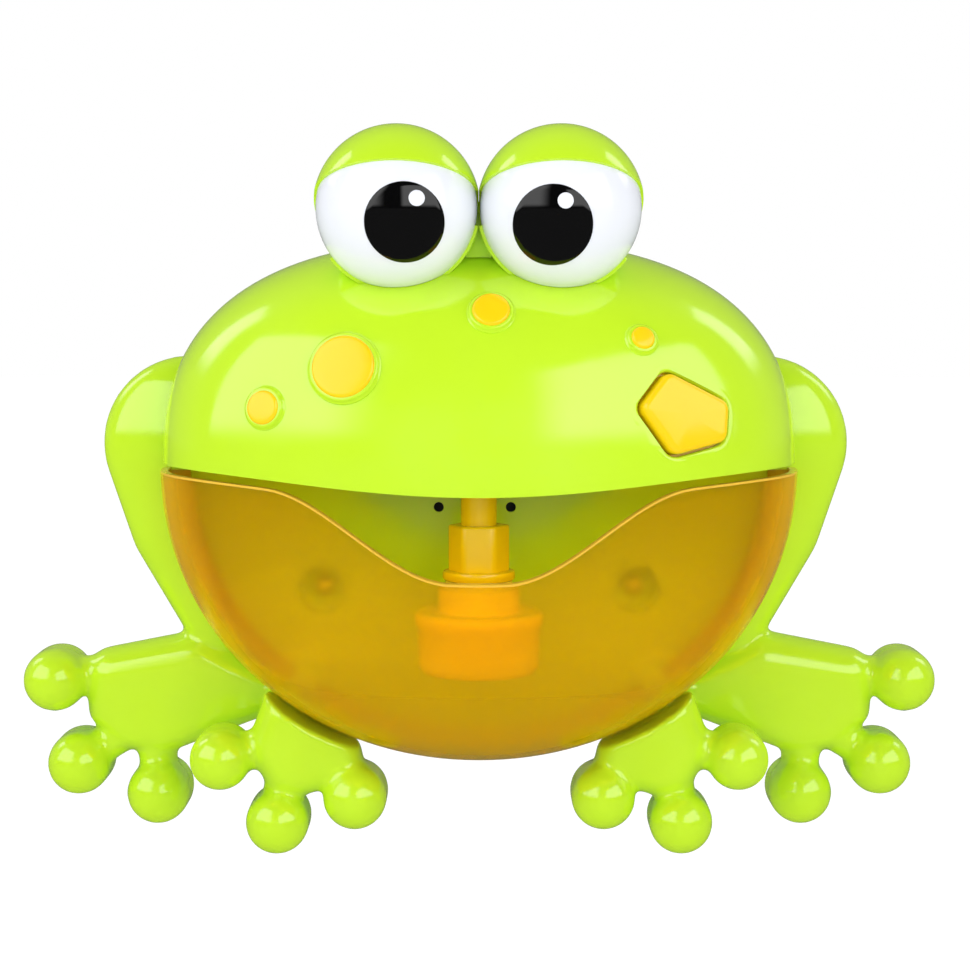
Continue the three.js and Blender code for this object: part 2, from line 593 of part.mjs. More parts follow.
// Head shell with spot bosses, the button's hole, screw posts and board posts
const cornersSeen = BUTTON_CORNERS.map(({ fromSide, up }) => [HEAD_HALF_WIDTH - fromSide, HEAD_Z + up]);
const button = onHead(
  cornersSeen.reduce((sum, [x]) => sum + x, 0) / cornersSeen.length,
  cornersSeen.reduce((sum, [, z]) => sum + z, 0) / cornersSeen.length);
const buttonCorners = cornersSeen.map(([x, z]) => {
  const offset = new THREE.Vector3(x - button.point.x, 0, z - button.point.z);
  offset.y = -(offset.x * button.normal.x + offset.z * button.normal.z) / button.normal.y;
  return new THREE.Vector2(offset.dot(button.across), offset.dot(button.up));
});
// The button's outline, grown by a margin, with rounded corners
function buttonShape(grow) {
  const count = buttonCorners.length;
  const edges = buttonCorners.map((p, i) => {
    const along = buttonCorners[(i + 1) % count].clone().sub(p).normalize();
    const out = new THREE.Vector2(along.y, -along.x);
    return { along, start: p.clone().addScaledVector(out, grow) };
  });
  const corners = edges.map((edge, i) => {
    const last = edges[(i + count - 1) % count];
    const gap = edge.start.clone().sub(last.start);
    const reach = gap.cross(edge.along) / last.along.cross(edge.along);
    return last.start.clone().addScaledVector(last.along, reach);
  });
  const shape = new THREE.Shape();
  const round = BUTTON_CORNER_ROUND + grow;
  corners.forEach((p, i) => {
    const before = p.clone().addScaledVector(edges[(i + count - 1) % count].along, -round);
    const after = p.clone().addScaledVector(edges[i].along, round);
    if (i === 0) shape.moveTo(before.x, before.y);
    else shape.lineTo(before.x, before.y);
    shape.quadraticCurveTo(p.x, p.y, after.x, after.y);
  });
  shape.closePath();
  return shape;
}
const boardTop = SWITCH_TOP - SWITCH_HEIGHT - GAP;
const spotPlaces = SPOTS.map((spot) => ({ ...spot, place: onHead(spot.x, spot.z) }));
const headFront = inFront(BELLY_Y - GAP);
const spotFloor = SPOT_BOSS_HEIGHT - SPOT_RECESS;
let headShell = headBulge(0).subtract(headBulge(WALL, 24, 6));
headShell = join([headShell,
  ...spotPlaces.map(({ place, radius }) => disc(place, radius + SPOT_RIM, -WALL / 2, SPOT_BOSS_HEIGHT, 16)),
  ...eachSide((s) => bar(s * headScrewX, headScrewZ, BELLY_Y - HEAD_SCREW.reach, BELLY_Y, screwBoss)
    .add(block(s * headScrewX - HEAD_SCREW.rib / 2, s * headScrewX + HEAD_SCREW.rib / 2,
      BELLY_Y - HEAD_SCREW.reach, BELLY_Y, headScrewZ, FAR)).intersect(headBulge(WALL / 2, 24, 6))),
  ...eachSide((s) => slab(button, s * BOARD_POST_REACH - BOARD_POST, s * BOARD_POST_REACH + BOARD_POST,
    -BOARD_POST, BOARD_POST, boardTop + GAP, 0).intersect(headBulge(WALL / 2, 24, 6))),
]);
headShell = cut(headShell, [
  prism(button, buttonShape(BUTTON_PLAY), -HEAD_HOLE_DEPTH, HEAD_HOLE_DEPTH),
  ...spotPlaces.map(({ place, radius }) => disc(place, radius + GAP, spotFloor, HEAD_HOLE_DEPTH)),
  ...eachSide((s) => bar(s * headScrewX, headScrewZ, BELLY_Y - HEAD_SCREW.reach + WALL, 0,
    screwHole, 8)),
  curtain(lipZ, -FAR / 2),
]).intersect(headFront);
add('head_shell', headShell, green);
for (const { name, place, radius } of spotPlaces) {
  add(name, disc(place, radius, spotFloor + GAP, SPOT_BOSS_HEIGHT + SPOT_PROUD), yellow);
}

// Power button with its flange and stem, and the switch under it on the circuit board
const buttonFace = prism(button, buttonShape(0), BUTTON_FLANGE_TOP - GAP, BUTTON_TOP - BUTTON_BEVEL)
  .add(prism(button, buttonShape(-BUTTON_BEVEL), BUTTON_FLANGE_TOP, BUTTON_TOP));
const buttonFlange = prism(button, buttonShape(BUTTON_FLANGE + BUTTON_PLAY),
  BUTTON_FLANGE_TOP - BUTTON_FLANGE_THICK, BUTTON_FLANGE_TOP);
const buttonStem = disc(button, BUTTON_STEM, BUTTON_STEM_END, BUTTON_FLANGE_TOP, 16);
add('power_button', join([buttonFace, buttonFlange, buttonStem]), yellow);
const plungerTop = BUTTON_STEM_END - GAP;
const switchHalf = SWITCH_SIDE / 2;
add('switch_plunger', disc(button, PLUNGER_RADIUS, plungerTop - PLUNGER_LENGTH, plungerTop), darkPlastic);
const plungerBore = plungerTop - PLUNGER_LENGTH - BUTTON_TRAVEL - GAP;
add('switch_body', slab(button, -switchHalf, switchHalf, -switchHalf, switchHalf,
  SWITCH_TOP - SWITCH_HEIGHT, SWITCH_TOP)
  .subtract(disc(button, PLUNGER_RADIUS + GAP, plungerBore, 0)), darkPlastic);
add('circuit_board', slab(button, -BOARD.width / 2, BOARD.width / 2, -BOARD.height / 2, BOARD.height / 2,
  boardTop - BOARD.thick, boardTop), boardGreen);

// Eyes
const clearOfHead = headBulge(-GAP);
const aheadOf = ({ tilt, forward }, margin) => solid(new THREE.BoxGeometry(FAR, FAR, FAR)
  .translate(0, -FAR / 2 - forward - margin, 0).rotateX(tilt).translate(0, EYE.y, EYE.z));
for (const [name, side] of Object.entries(sides)) {
  const eyeball = (radius, around = 24, rings = 12) => ellipsoid(
    side * EYE.x, EYE.y, EYE.z, radius, radius, radius, around, rings);
  const collar = (margin) => solid(new THREE.BoxGeometry(FAR, FAR, FAR)
    .translate(0, FAR / 2 + COLLAR.frontY - margin, -FAR / 2 + margin)
    .rotateY(side * COLLAR.lean).translate(0, 0, COLLAR.highZ));
  const opening = (margin) => aheadOf(LID, margin).intersect(aheadOf(HOOD_SIDE, margin))
    .subtract(collar(margin));
  const hoodInner = HOOD.radius - HOOD.wall;
  const hood = cut(eyeball(HOOD.radius), [opening(0), eyeball(hoodInner), clearOfHead])
    .trimByPlane([side, 0, 0], GAP / 2);
  add(`eye_hood_${name}`, hood, green);

  const hoodRoom = cut(eyeball(HOOD.radius + GAP), [opening(GAP), eyeball(hoodInner - GAP)]);
  const eyeWhite = cut(eyeball(EYE.radius), [eyeball(EYE.radius - EYE.wall), hoodRoom, clearOfHead]);
  add(`eye_white_${name}`, eyeWhite, white);

  const [px, pz] = PUPILS[name];
  const [gx, gz] = GLINTS[name];
  const pupilTop = EYE.radius + GAP + INLAY;
  const pupil = eyeball(pupilTop).subtract(eyeball(EYE.radius + GAP))
    .intersect(bar(px, pz, -FAR, EYE.y, PUPIL_RADIUS, 24));
  add(`pupil_${name}`, pupil, black);
  const glint = eyeball(pupilTop + GAP + INLAY).subtract(eyeball(pupilTop + GAP))
    .intersect(bar(gx, gz, -FAR, EYE.y, GLINT_RADIUS, 10));
  add(`eye_glint_${name}`, glint, white);
}

// An upright bar through everything, on the nozzle's axis or beside it
const upright = (radius, x = 0, y = 0, segments = 18) => turnedZ(
  [[0, -FAR], [radius, -FAR], [radius, FAR], [0, FAR]], x, NOZZLE_Y + y, segments);

// Mouth roof inside the head, with the duct's hole
const roofTop = ROOF_Z + ROOF_THICK;
const roof = headBulge(WALL + GAP, 24, 6).intersect(headFront)
  .intersect(block(-FAR, FAR, -FAR, FAR, ROOF_Z, roofTop))
  .subtract(upright(DUCT.outer + GAP));
add('mouth_roof', roof, green);

// Air duct, hexagonal sleeve, diffuser cup and its plate
const flangeTop = roofTop + GAP + DUCT.flangeThick;
add('air_duct', turnedZ(closed([
  [DUCT.bore, flangeTop], [DUCT.flange, flangeTop], [DUCT.flange, roofTop + GAP],
  [DUCT.outer, roofTop + GAP], [DUCT.outer, DUCT.low], [DUCT.bore, DUCT.low],
]), 0, NOZZLE_Y), yellow);
const hexagon = new THREE.CylinderGeometry(SLEEVE.corner, SLEEVE.corner, SLEEVE.top - SLEEVE.low, 6)
  .rotateX(Math.PI / 2).rotateZ(Math.PI / 2).translate(0, NOZZLE_Y, (SLEEVE.top + SLEEVE.low) / 2);
const sleeveFlange = turnedZ([
  [0, SLEEVE.low + GAP], [SLEEVE.flange, SLEEVE.low],
  [SLEEVE.flange, SLEEVE.flangeLow], [0, SLEEVE.flangeLow],
], 0, NOZZLE_Y);
add('nozzle_sleeve', solid(hexagon).add(sleeveFlange).subtract(upright(DUCT.outer + GAP)), yellow);
const cupTop = SLEEVE.flangeLow - GAP;
const cupInner = CUP.lowRadius - CUP_WALL;
const plateTop = CUP.low + CUP_EDGE_ROUND / 2 + PLATE_THICK;
const plateSeat = cupInner - CUP_WALL;
add('diffuser_cup', turnedZ(closed([
  [DUCT.bore, cupTop], [CUP.neck, cupTop], [CUP.neck, CUP.bossTop], [CUP.boss, CUP.bossTop],
  [CUP.boss, CUP.top], [CUP.radius - CUP_SHOULDER, CUP.top], [CUP.radius, CUP.top - CUP_SHOULDER],
  [CUP.lowRadius, CUP.low + CUP_EDGE_ROUND], [CUP.lowRadius - CUP_FOOT, CUP.low + CUP_FOOT],
  [cupInner + CUP_FOOT_LIP, CUP.low], [cupInner, CUP.low],
  [cupInner, plateTop + GAP], [plateSeat, plateTop + GAP],
  [plateSeat, CUP.top - CUP_WALL], [DUCT.bore, CUP.top - CUP_WALL],
]), 0, NOZZLE_Y, 18), yellow);
let plate = turnedZ([[0, plateTop], [cupInner - GAP, plateTop], [cupInner - GAP, plateTop - PLATE_THICK],
  [0, plateTop - PLATE_THICK]], 0, NOZZLE_Y, 20);
for (let i = 0; i < PLATE_HOLES; i += 1) {
  const angle = (i / PLATE_HOLES) * 2 * Math.PI;
  plate = plate.subtract(upright(
    PLATE_HOLE, PLATE_HOLE_RING * Math.cos(angle), PLATE_HOLE_RING * Math.sin(angle), 6));
}
add('diffuser_plate', plate, yellow);

// Bowl: open above, with a low wall behind and a flange up both sides of its back
const bowlBack = BELLY_Y - BOWL_BACK_GAP;
const bowlHollow = bowlBulge(WALL, 32, 7).intersect(inFront(bowlBack - WALL))
  .add(bowlBulge(BOWL_FLANGE, 32, 7).intersect(above(BOWL_REAR_WALL_Z)));
add('bowl', bowlBulge(0).intersect(inFront(bowlBack)).subtract(bowlHollow)
  .subtract(curtain(bowlRimZ, FAR / 2)), orange);

// Blower
const voluteBack = NOZZLE_Y + VOLUTE_HALF_DEPTH;
const voluteFront = NOZZLE_Y - VOLUTE_HALF_DEPTH;
const outletLow = flangeTop + GAP;
const casing = (grow, y0, y1, low) => bar(FAN_X, FAN_Z, y0, y1, VOLUTE_RADIUS + grow, 24).add(
  block(-OUTLET_HALF_WIDTH - grow, OUTLET_HALF_WIDTH + grow, y0, y1, low, FAN_Z));
const motorFace = voluteBack + GAP;
add('blower_housing', casing(FAN_WALL, voluteFront, voluteBack, outletLow)
  .subtract(casing(0, voluteFront - GAP, voluteBack - FAN_WALL, -FAR))
  .subtract(bar(FAN_X, FAN_Z, -FAR, 0, MOTOR_BOSS + GAP)), darkPlastic);
add('blower_cover', casing(FAN_WALL, voluteFront - GAP - FAN_WALL, voluteFront - GAP, outletLow)
  .subtract(bar(FAN_X, FAN_Z, -FAR, 0, INTAKE_RADIUS, 16)), darkPlastic);
const shaftBore = SHAFT_RADIUS + GAP;
const shaftEnd = motorFace + MOTOR_LENGTH / 2;
add('motor', turnedY([
  [0, motorFace + MOTOR_LENGTH], [MOTOR_RADIUS, motorFace + MOTOR_LENGTH], [MOTOR_RADIUS, motorFace],
  [MOTOR_BOSS, motorFace], [MOTOR_BOSS, voluteBack - FAN_WALL], [shaftBore, voluteBack - FAN_WALL],
  [shaftBore, shaftEnd + GAP], [0, shaftEnd + GAP],
], FAN_X, FAN_Z), steel);
const impellerBack = voluteBack - FAN_WALL - IMPELLER_PLAY;
const impellerFront = voluteFront + IMPELLER_PLAY;
add('motor_shaft', bar(FAN_X, FAN_Z, impellerFront, shaftEnd, SHAFT_RADIUS, 12), steel);
const blades = [];
for (let i = 0; i < BLADES; i += 1) {
  const blade = new THREE.BoxGeometry(IMPELLER_RADIUS - BLADE_ROOT, impellerBack - impellerFront, BLADE_THICK)
    .translate((IMPELLER_RADIUS + BLADE_ROOT) / 2, (impellerBack + impellerFront) / 2, 0)
    .rotateY((i / BLADES) * 2 * Math.PI).translate(FAN_X, 0, FAN_Z);
  blades.push(solid(blade));
}
add('impeller', join([...blades,
  bar(FAN_X, FAN_Z, impellerBack - BLADE_THICK, impellerBack, IMPELLER_RADIUS, 20),
  bar(FAN_X, FAN_Z, impellerFront, impellerBack, HUB_RADIUS, 16),
]).subtract(bar(FAN_X, FAN_Z, -FAR, 0, shaftBore, 12)), yellow);

// Speaker behind the grille
const speakerBack = bodyBackInner - GAP;
add('speaker', turnedY([
  [0, speakerBack - SPEAKER.depth], [SPEAKER.magnet, speakerBack - SPEAKER.depth],
  [SPEAKER.magnet, speakerBack - SPEAKER.depth / 2], [SPEAKER.radius, speakerBack - SPEAKER.rim],
  [SPEAKER.radius, speakerBack], [0, speakerBack],
], SPEAKER.x, SPEAKER.z), darkPlastic);

// Battery box with a lug for the door's screw
const boxHalfX = cellRoomX / 2;
const boxHalfZ = cellRoomZ / 2;
const lugFront = doorScrewSeat - DOOR_SCREW_LENGTH - WALL;
const cellRoom = block(-boxHalfX, boxHalfX, boxFloorY, 0, BATTERY_Z - boxHalfZ, BATTERY_Z + boxHalfZ);
const boxOuter = block(-boxHalfX - BOX_WALL, boxHalfX + BOX_WALL, boxFloorY - BOX_WALL, boxRearY,
  BATTERY_Z - boxHalfZ - BOX_WALL, BATTERY_Z + boxHalfZ + BOX_WALL);
const lug = block(0, doorTabX - DOOR_PLAY, lugFront, boxRearY - GAP,
  BATTERY_Z - DOOR_LUG / 2 + DOOR_PLAY, BATTERY_Z + DOOR_LUG / 2 - DOOR_PLAY);
add('battery_box', cut(boxOuter.add(lug), [
  cellRoom,
  bar(doorScrewX, BATTERY_Z, lugFront + WALL - GAP, 0, screwHole, 8),
]), darkPlastic);

// Three cells with a coil spring at the flat end of each
const nubEnd = boxHalfX - CELL_PLAY;
const cellEnd = nubEnd - CELL_NUB_LENGTH - CELL_LENGTH;
const springFrom = -boxHalfX + GAP + SPRING_WIRE;
const springTo = cellEnd - GAP - SPRING_WIRE;
const springSteps = SPRING_TURNS * SPRING_STEPS;
[-1, 0, 1].forEach((row, i) => {
  const flip = row === 0 ? -1 : 1;
  const z = BATTERY_Z + row * CELL_PITCH;
  const cell = turned([
    [0, nubEnd], [CELL_NUB, nubEnd], [CELL_NUB, nubEnd - CELL_NUB_LENGTH],
    [CELL_RADIUS, nubEnd - CELL_NUB_LENGTH], [CELL_RADIUS, cellEnd], [0, cellEnd],
  ], 14).rotateZ((-flip * Math.PI) / 2).translate(0, cellY, z);
  add(`cell_${i + 1}`, solid(cell), cellWrap);

  const route = [];
  for (let k = 0; k <= springSteps; k += 1) {
    const along = k / springSteps;
    const angle = (k / SPRING_STEPS) * 2 * Math.PI;
    const radius = THREE.MathUtils.lerp(SPRING_WIDE, SPRING_NARROW, along);
    route.push(new THREE.Vector3(flip * THREE.MathUtils.lerp(springFrom, springTo, along),
      cellY + radius * Math.cos(angle), z + radius * Math.sin(angle)));
  }
  const wire = [];
  for (let k = 0; k < SPRING_SIDES; k += 1) {
    const turn = (k / SPRING_SIDES) * 2 * Math.PI;
    wire.push(new THREE.Vector2(SPRING_WIRE * Math.cos(turn), SPRING_WIRE * Math.sin(turn)));
  }
  const coil = new THREE.ExtrudeGeometry(new THREE.Shape(wire), {
    steps: springSteps, bevelEnabled: false, extrudePath: new THREE.CatmullRomCurve3(route),
  });
  add(`cell_spring_${i + 1}`, solid(coil), steel);
});

// Battery door, its gasket and its captive screw
add('battery_door', cut(doorPanel(DOOR_PLAY, bodyBackInner, BODY_BACK_Y), [
  bar(doorScrewX, BATTERY_Z, doorScrewSeat, 0, SCREW_HEAD + SCREW_PLAY),
  bar(doorScrewX, BATTERY_Z, -FAR, 0, screwHole, 8),
]), green);
const gasketBack = bodyBackInner - GAP;
add('door_gasket', doorFrame(2 * DOOR_PLAY, gasketBack - GASKET_THICK, gasketBack)
  .subtract(doorFrame(2 * DOOR_PLAY + GASKET_WIDTH, -FAR, 0)), sealRubber);
screw('door_screw', doorScrewX, BATTERY_Z, doorScrewSeat + GAP, -1, DOOR_SCREW_LENGTH);

// Suction cups on the back, their lips in the wall plane
cupPlaces.forEach(([x, z], i) => {
  const shellBack = BODY_BACK_Y + GAP;
  const shellInside = bodyBackInner - GAP;
  add(`suction_cup_${i + 1}`, turnedY([
    [0, -SUCTION.hollow], [SUCTION.lip / 2, -SUCTION.bend], [SUCTION.lip - SUCTION.lipWidth, 0],
    [SUCTION.lip, 0], [SUCTION.lip, -SUCTION.lipThick],
    [SUCTION.lip / 2, -SUCTION.hollow - SUCTION.lipThick],
    [SUCTION.neck, shellBack / 2 - SUCTION.hollow / 2], [SUCTION.neck, shellBack],
    [SUCTION.stem, shellBack], [SUCTION.stem, shellInside], [SUCTION.head, shellInside],
    [SUCTION.head, shellInside - SUCTION.lipThick], [0, shellInside - SUCTION.hollow],
  ], x, z, 12), clearRubber);
});

// Screws: case screws from behind, belly screws in the wells, head and leg screws from inside
for (const [name, side] of Object.entries(sides)) {
  screw(`case_screw_${name}`, side * caseScrewX, CASE_SCREW.z, caseScrewSeat + GAP, -1,
    CASE_SCREW.length);
  screw(`belly_screw_${name}`, side * BELLY_WELL.x, BELLY_WELL.z, wellFloor - GAP, 1, BELLY_WELL.screw);
  screw(`head_screw_${name}`, side * headScrewX, headScrewZ, bellyInner + GAP, -1,
    HEAD_SCREW.length);
  screw(`leg_screw_${name}`, side * legScrewX, legScrewZ, bellyInner + GAP, -1, LEG_SCREW.length);
}

frog.name = 'bubble_frog';
export default frog;
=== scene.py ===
import bmesh
import bpy
import math
from mathutils import Matrix, Vector


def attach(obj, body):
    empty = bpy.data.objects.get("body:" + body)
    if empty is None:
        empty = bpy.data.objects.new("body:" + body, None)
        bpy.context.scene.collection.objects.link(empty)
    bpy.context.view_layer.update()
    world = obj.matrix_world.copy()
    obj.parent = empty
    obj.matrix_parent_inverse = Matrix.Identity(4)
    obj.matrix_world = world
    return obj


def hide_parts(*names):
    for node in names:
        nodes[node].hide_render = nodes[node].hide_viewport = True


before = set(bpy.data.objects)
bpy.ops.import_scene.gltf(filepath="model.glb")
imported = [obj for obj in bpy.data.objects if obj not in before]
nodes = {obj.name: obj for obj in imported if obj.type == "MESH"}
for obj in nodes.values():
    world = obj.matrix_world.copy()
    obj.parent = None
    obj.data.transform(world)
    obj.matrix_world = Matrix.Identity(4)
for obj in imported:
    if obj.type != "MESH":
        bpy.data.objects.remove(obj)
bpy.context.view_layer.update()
mm = 0.001  # pieces are shaped in millimetres and scaled to metres when they are added
print("frame loaded:", len(nodes), "nodes")

# camera at the photograph's angle: a long lens, a little above the mouth and tipped down
cameraSetup = {"x": 1.75, "y": -662.04, "z": 54.16, "tipDown": 5.0, "lens": 78.5, "sensor": 36.0}
cameraData = bpy.data.cameras.new("camera")
cameraData.sensor_width = cameraSetup["sensor"]
cameraData.lens = cameraSetup["lens"]
cameraData.clip_start = 0.01
camera = bpy.data.objects.new("camera", cameraData)
camera.location = (cameraSetup["x"] * mm, cameraSetup["y"] * mm, cameraSetup["z"] * mm)
camera.rotation_euler = (math.radians(90 - cameraSetup["tipDown"]), 0, 0)
bpy.context.scene.collection.objects.link(camera)
bpy.context.scene.camera = camera


# Materials

def linear(hexColour):
    values = [int(hexColour[i:i + 2], 16) / 255 for i in (1, 3, 5)]
    return tuple(v / 12.92 if v <= 0.04045 else ((v + 0.055) / 1.055) ** 2.4 for v in values)


def addNode(tree, kind, settings=None, inputs=None):
    node = tree.nodes.new(kind)
    for key, value in (settings or {}).items():
        setattr(node, key, value)
    for key, value in (inputs or {}).items():
        if isinstance(value, bpy.types.NodeSocket):
            tree.links.new(value, node.inputs[key])
        else:
            node.inputs[key].default_value = value
    return node


def perMetre(millimetres):
    return 1000.0 / millimetres


# Starts a material: its tree, a Principled shader and the Object coordinates
def startMaterial(name, settings):
    material = bpy.data.materials.new(name)
    material.use_nodes = True
    tree = material.node_tree
    shader = tree.nodes["Principled BSDF"]
    for key, value in settings.items():
        shader.inputs[key].default_value = value
    place = addNode(tree, "ShaderNodeTexCoord").outputs["Object"]
    return material, tree, shader, place


# Moulded plastic: a slow drift of colour, a roughness that wanders, and a faint ripple of the mould
def mouldedPlastic(name, colour, deeper, settings, roughness, drift=38.0, ripple=9.0, rippleDepth=0.012):
    material, tree, shader, place = startMaterial(name, settings)
    cloud = addNode(tree, "ShaderNodeTexNoise", None,
                    {"Vector": place, "Scale": perMetre(drift), "Detail": 3.0, "Roughness": 0.55})
    shade = addNode(tree, "ShaderNodeMix", {"data_type": "RGBA"},
                    {0: cloud.outputs["Fac"], 6: (*linear(deeper), 1), 7: (*linear(colour), 1)})
    tree.links.new(shade.outputs[2], shader.inputs["Base Color"])
    film = addNode(tree, "ShaderNodeTexNoise", None,
                   {"Vector": place, "Scale": perMetre(drift * 0.3), "Detail": 4.0})
    gloss = addNode(tree, "ShaderNodeMapRange", None,
                    {0: film.outputs["Fac"], 1: 0.3, 2: 0.7, 3: roughness[0], 4: roughness[1]})
    tree.links.new(gloss.outputs[0], shader.inputs["Roughness"])
    wave = addNode(tree, "ShaderNodeTexNoise", None,
                   {"Vector": place, "Scale": perMetre(ripple), "Detail": 2.0})
    bump = addNode(tree, "ShaderNodeBump", None,
                   {"Strength": 0.12, "Distance": rippleDepth * mm, "Height": wave.outputs["Fac"]})
    tree.links.new(bump.outputs[0], shader.inputs["Normal"])
    return material


# ABS, injection moulded and polished: bright, with a clear reflection
greenAbs = mouldedPlastic("lime_abs", "#c6f02a", "#c1ea24", {"IOR": 1.54, "Specular IOR Level": 0.85}, (0.1, 0.16))
# the same ABS in yellow, a little softer in its shine
yellowAbs = mouldedPlastic("yellow_abs", "#ffd40c", "#fccc06", {"IOR": 1.54}, (0.16, 0.24), drift=16)
# a lighter copy of the yellow for the cup that stands inside the bowl: painted light, paler to stand in for the light
# the cup shows through the bowl
yellowAbsPaintedLighter = mouldedPlastic("yellow_abs_painted_lighter", "#ffea48", "#fde440", {"IOR": 1.54}, (0.16, 0.24), drift=16)
# white ABS for the eyeballs, very smooth
whiteAbs = mouldedPlastic("white_abs", "#eef0f7", "#e9ecf4", {"IOR": 1.54}, (0.06, 0.1), drift=22)
# black lacquer on the pupils, like wet ink
blackLacquer = mouldedPlastic("black_lacquer", "#040405", "#030303", {"IOR": 1.5}, (0.03, 0.06), drift=12)
# dark ABS inside, left as it came from the mould, with a fine grain
darkAbs = mouldedPlastic("dark_abs", "#2b2d30", "#232528", {"IOR": 1.54}, (0.42, 0.58), 14, 1.2, 0.03)
# nitrile rubber for the seal: matt and slightly uneven
nitrileRubber = mouldedPlastic("nitrile_rubber", "#3c3f42", "#303235", {"IOR": 1.5}, (0.7, 0.85), 6, 0.8, 0.04)
# glass-fibre board with a green solder mask
maskedBoard = mouldedPlastic("masked_board", "#1d6b3a", "#155a2f", {"IOR": 1.5}, (0.3, 0.42), 5, 0.9, 0.02)

# polystyrene dyed amber and lightly frosted: light comes through, and what is behind it blurs with its distance
amber = {
    "IOR": 1.24, "clearMiddle": 0.91, "clearRim": 0.5, "rimFrom": 0.84, "clearLow": 0.62,
    "highZ": -15, "lowZ": -80, "middleZ": 6.0, "halfWidth": 93.7, "height": 87.8,
}
orangePolystyrene = mouldedPlastic(
    "frosted_amber_polystyrene", "#ffd500", "#fed100",
    {"IOR": amber["IOR"], "Transmission Weight": amber["clearMiddle"]}, (0.18, 0.23), 30, 12, 0.01)
# towards its outline and its bottom the wall is made less clear, so more of it shows as lit orange: painted light for
# the glow of the frosted wall seen edge-on
amberTree = orangePolystyrene.node_tree
amberPlace = addNode(amberTree, "ShaderNodeTexCoord").outputs["Object"]
fromMiddle = addNode(amberTree, "ShaderNodeVectorMath", {"operation": "SUBTRACT"},
                     {0: amberPlace, 1: (0, 0, amber["middleZ"] * mm)})
inRadii = addNode(amberTree, "ShaderNodeVectorMath", {"operation": "MULTIPLY"},
                  {0: fromMiddle.outputs[0], 1: (perMetre(amber["halfWidth"]), 0, perMetre(amber["height"]))})
outward = addNode(amberTree, "ShaderNodeVectorMath", {"operation": "LENGTH"}, {0: inRadii.outputs[0]})
rimGlowPainted = addNode(amberTree, "ShaderNodeMapRange", None, {
    0: outward.outputs["Value"], 1: amber["rimFrom"], 2: 1.0, 3: amber["clearMiddle"], 4: amber["clearRim"]})
height = addNode(amberTree, "ShaderNodeSeparateXYZ", None, {0: amberPlace}).outputs[2]
lowGlowPainted = addNode(amberTree, "ShaderNodeMapRange", None, {
    0: height, 1: amber["highZ"] * mm, 2: amber["lowZ"] * mm, 3: amber["clearMiddle"], 4: amber["clearLow"]})
clearness = addNode(amberTree, "ShaderNodeMath", {"operation": "MINIMUM"},
                    {0: rimGlowPainted.outputs[0], 1: lowGlowPainted.outputs[0]})
amberTree.links.new(clearness.outputs[0], amberTree.nodes["Principled BSDF"].inputs["Transmission Weight"])
# the bowl's lip, paler and less clear than the bowl: painted light for the glow its cut edge gathers
lipPolystyrenePaintedLight = mouldedPlastic(
    "amber_polystyrene_lip_painted_light", "#ffd24a", "#fecc40",
    {"IOR": 1.45, "Transmission Weight": 0.25}, (0.12, 0.18), 30, 12, 0.01)
# the bowl's thin rear wall, nearly clear and far paler than the bowl's amber: painted light, a lighter copy that
# keeps shade and tint off the bowl's lower part
rearPolystyrenePaintedLight = mouldedPlastic(
    "amber_polystyrene_rear_painted_light", "#fffdf4", "#fffcf0",
    {"IOR": 1.1, "Transmission Weight": 1.0}, (0.06, 0.1), 30, 12, 0.01)
# soft clear PVC of the suction cups, a little cloudy
clearPvc = mouldedPlastic(
    "clear_pvc", "#e3eeec", "#d8e6e4", {"IOR": 1.52, "Transmission Weight": 0.75}, (0.16, 0.26), 9, 5, 0.01)


# Zinc-plated steel: pale metal with a fine mottled grain in its colour and roughness
def platedSteel():
    material, tree, shader, place = startMaterial("zinc_plated_steel", {"Metallic": 1.0})
    grain = addNode(tree, "ShaderNodeTexNoise", None,
                    {"Vector": place, "Scale": perMetre(1.4), "Detail": 5.0, "Roughness": 0.6})
    tint = addNode(tree, "ShaderNodeMix", {"data_type": "RGBA"},
                   {0: grain.outputs["Fac"], 6: (*linear("#a9adb3"), 1), 7: (*linear("#d3d6da"), 1)})
    tree.links.new(tint.outputs[2], shader.inputs["Base Color"])
    gloss = addNode(tree, "ShaderNodeMapRange", None, {0: grain.outputs["Fac"], 3: 0.22, 4: 0.42})
    tree.links.new(gloss.outputs[0], shader.inputs["Roughness"])
    return material


# A dry cell: a plain blue printed wrap, with bare steel past its ends
def wrappedCell(halfWrap):
    material, tree, shader, place = startMaterial("wrapped_cell", {"IOR": 1.5})
    along = addNode(tree, "ShaderNodeSeparateXYZ", None, {0: place})
    reach = addNode(tree, "ShaderNodeMath", {"operation": "ABSOLUTE"}, {0: along.outputs[0]})
    bare = addNode(tree, "ShaderNodeMath", {"operation": "GREATER_THAN"}, {0: reach.outputs[0], 1: halfWrap * mm})
    scuff = addNode(tree, "ShaderNodeTexNoise", None, {"Vector": place, "Scale": perMetre(3.0), "Detail": 4.0})
    wrap = addNode(tree, "ShaderNodeMix", {"data_type": "RGBA"},
                   {0: scuff.outputs["Fac"], 6: (*linear("#1f5f9f"), 1), 7: (*linear("#2f78bd"), 1)})
    both = addNode(tree, "ShaderNodeMix", {"data_type": "RGBA"},
                   {0: bare.outputs[0], 6: wrap.outputs[2], 7: (*linear("#c9ccd0"), 1)})
    tree.links.new(both.outputs[2], shader.inputs["Base Color"])
    tree.links.new(bare.outputs[0], shader.inputs["Metallic"])
    gloss = addNode(tree, "ShaderNodeMapRange", None, {0: scuff.outputs["Fac"], 3: 0.28, 4: 0.4})
    tree.links.new(gloss.outputs[0], shader.inputs["Roughness"])
    return material


steel = platedSteel()
cellWrap = wrappedCell(halfWrap=23.0)
print("materials made")


# Shaping helpers, all in millimetres

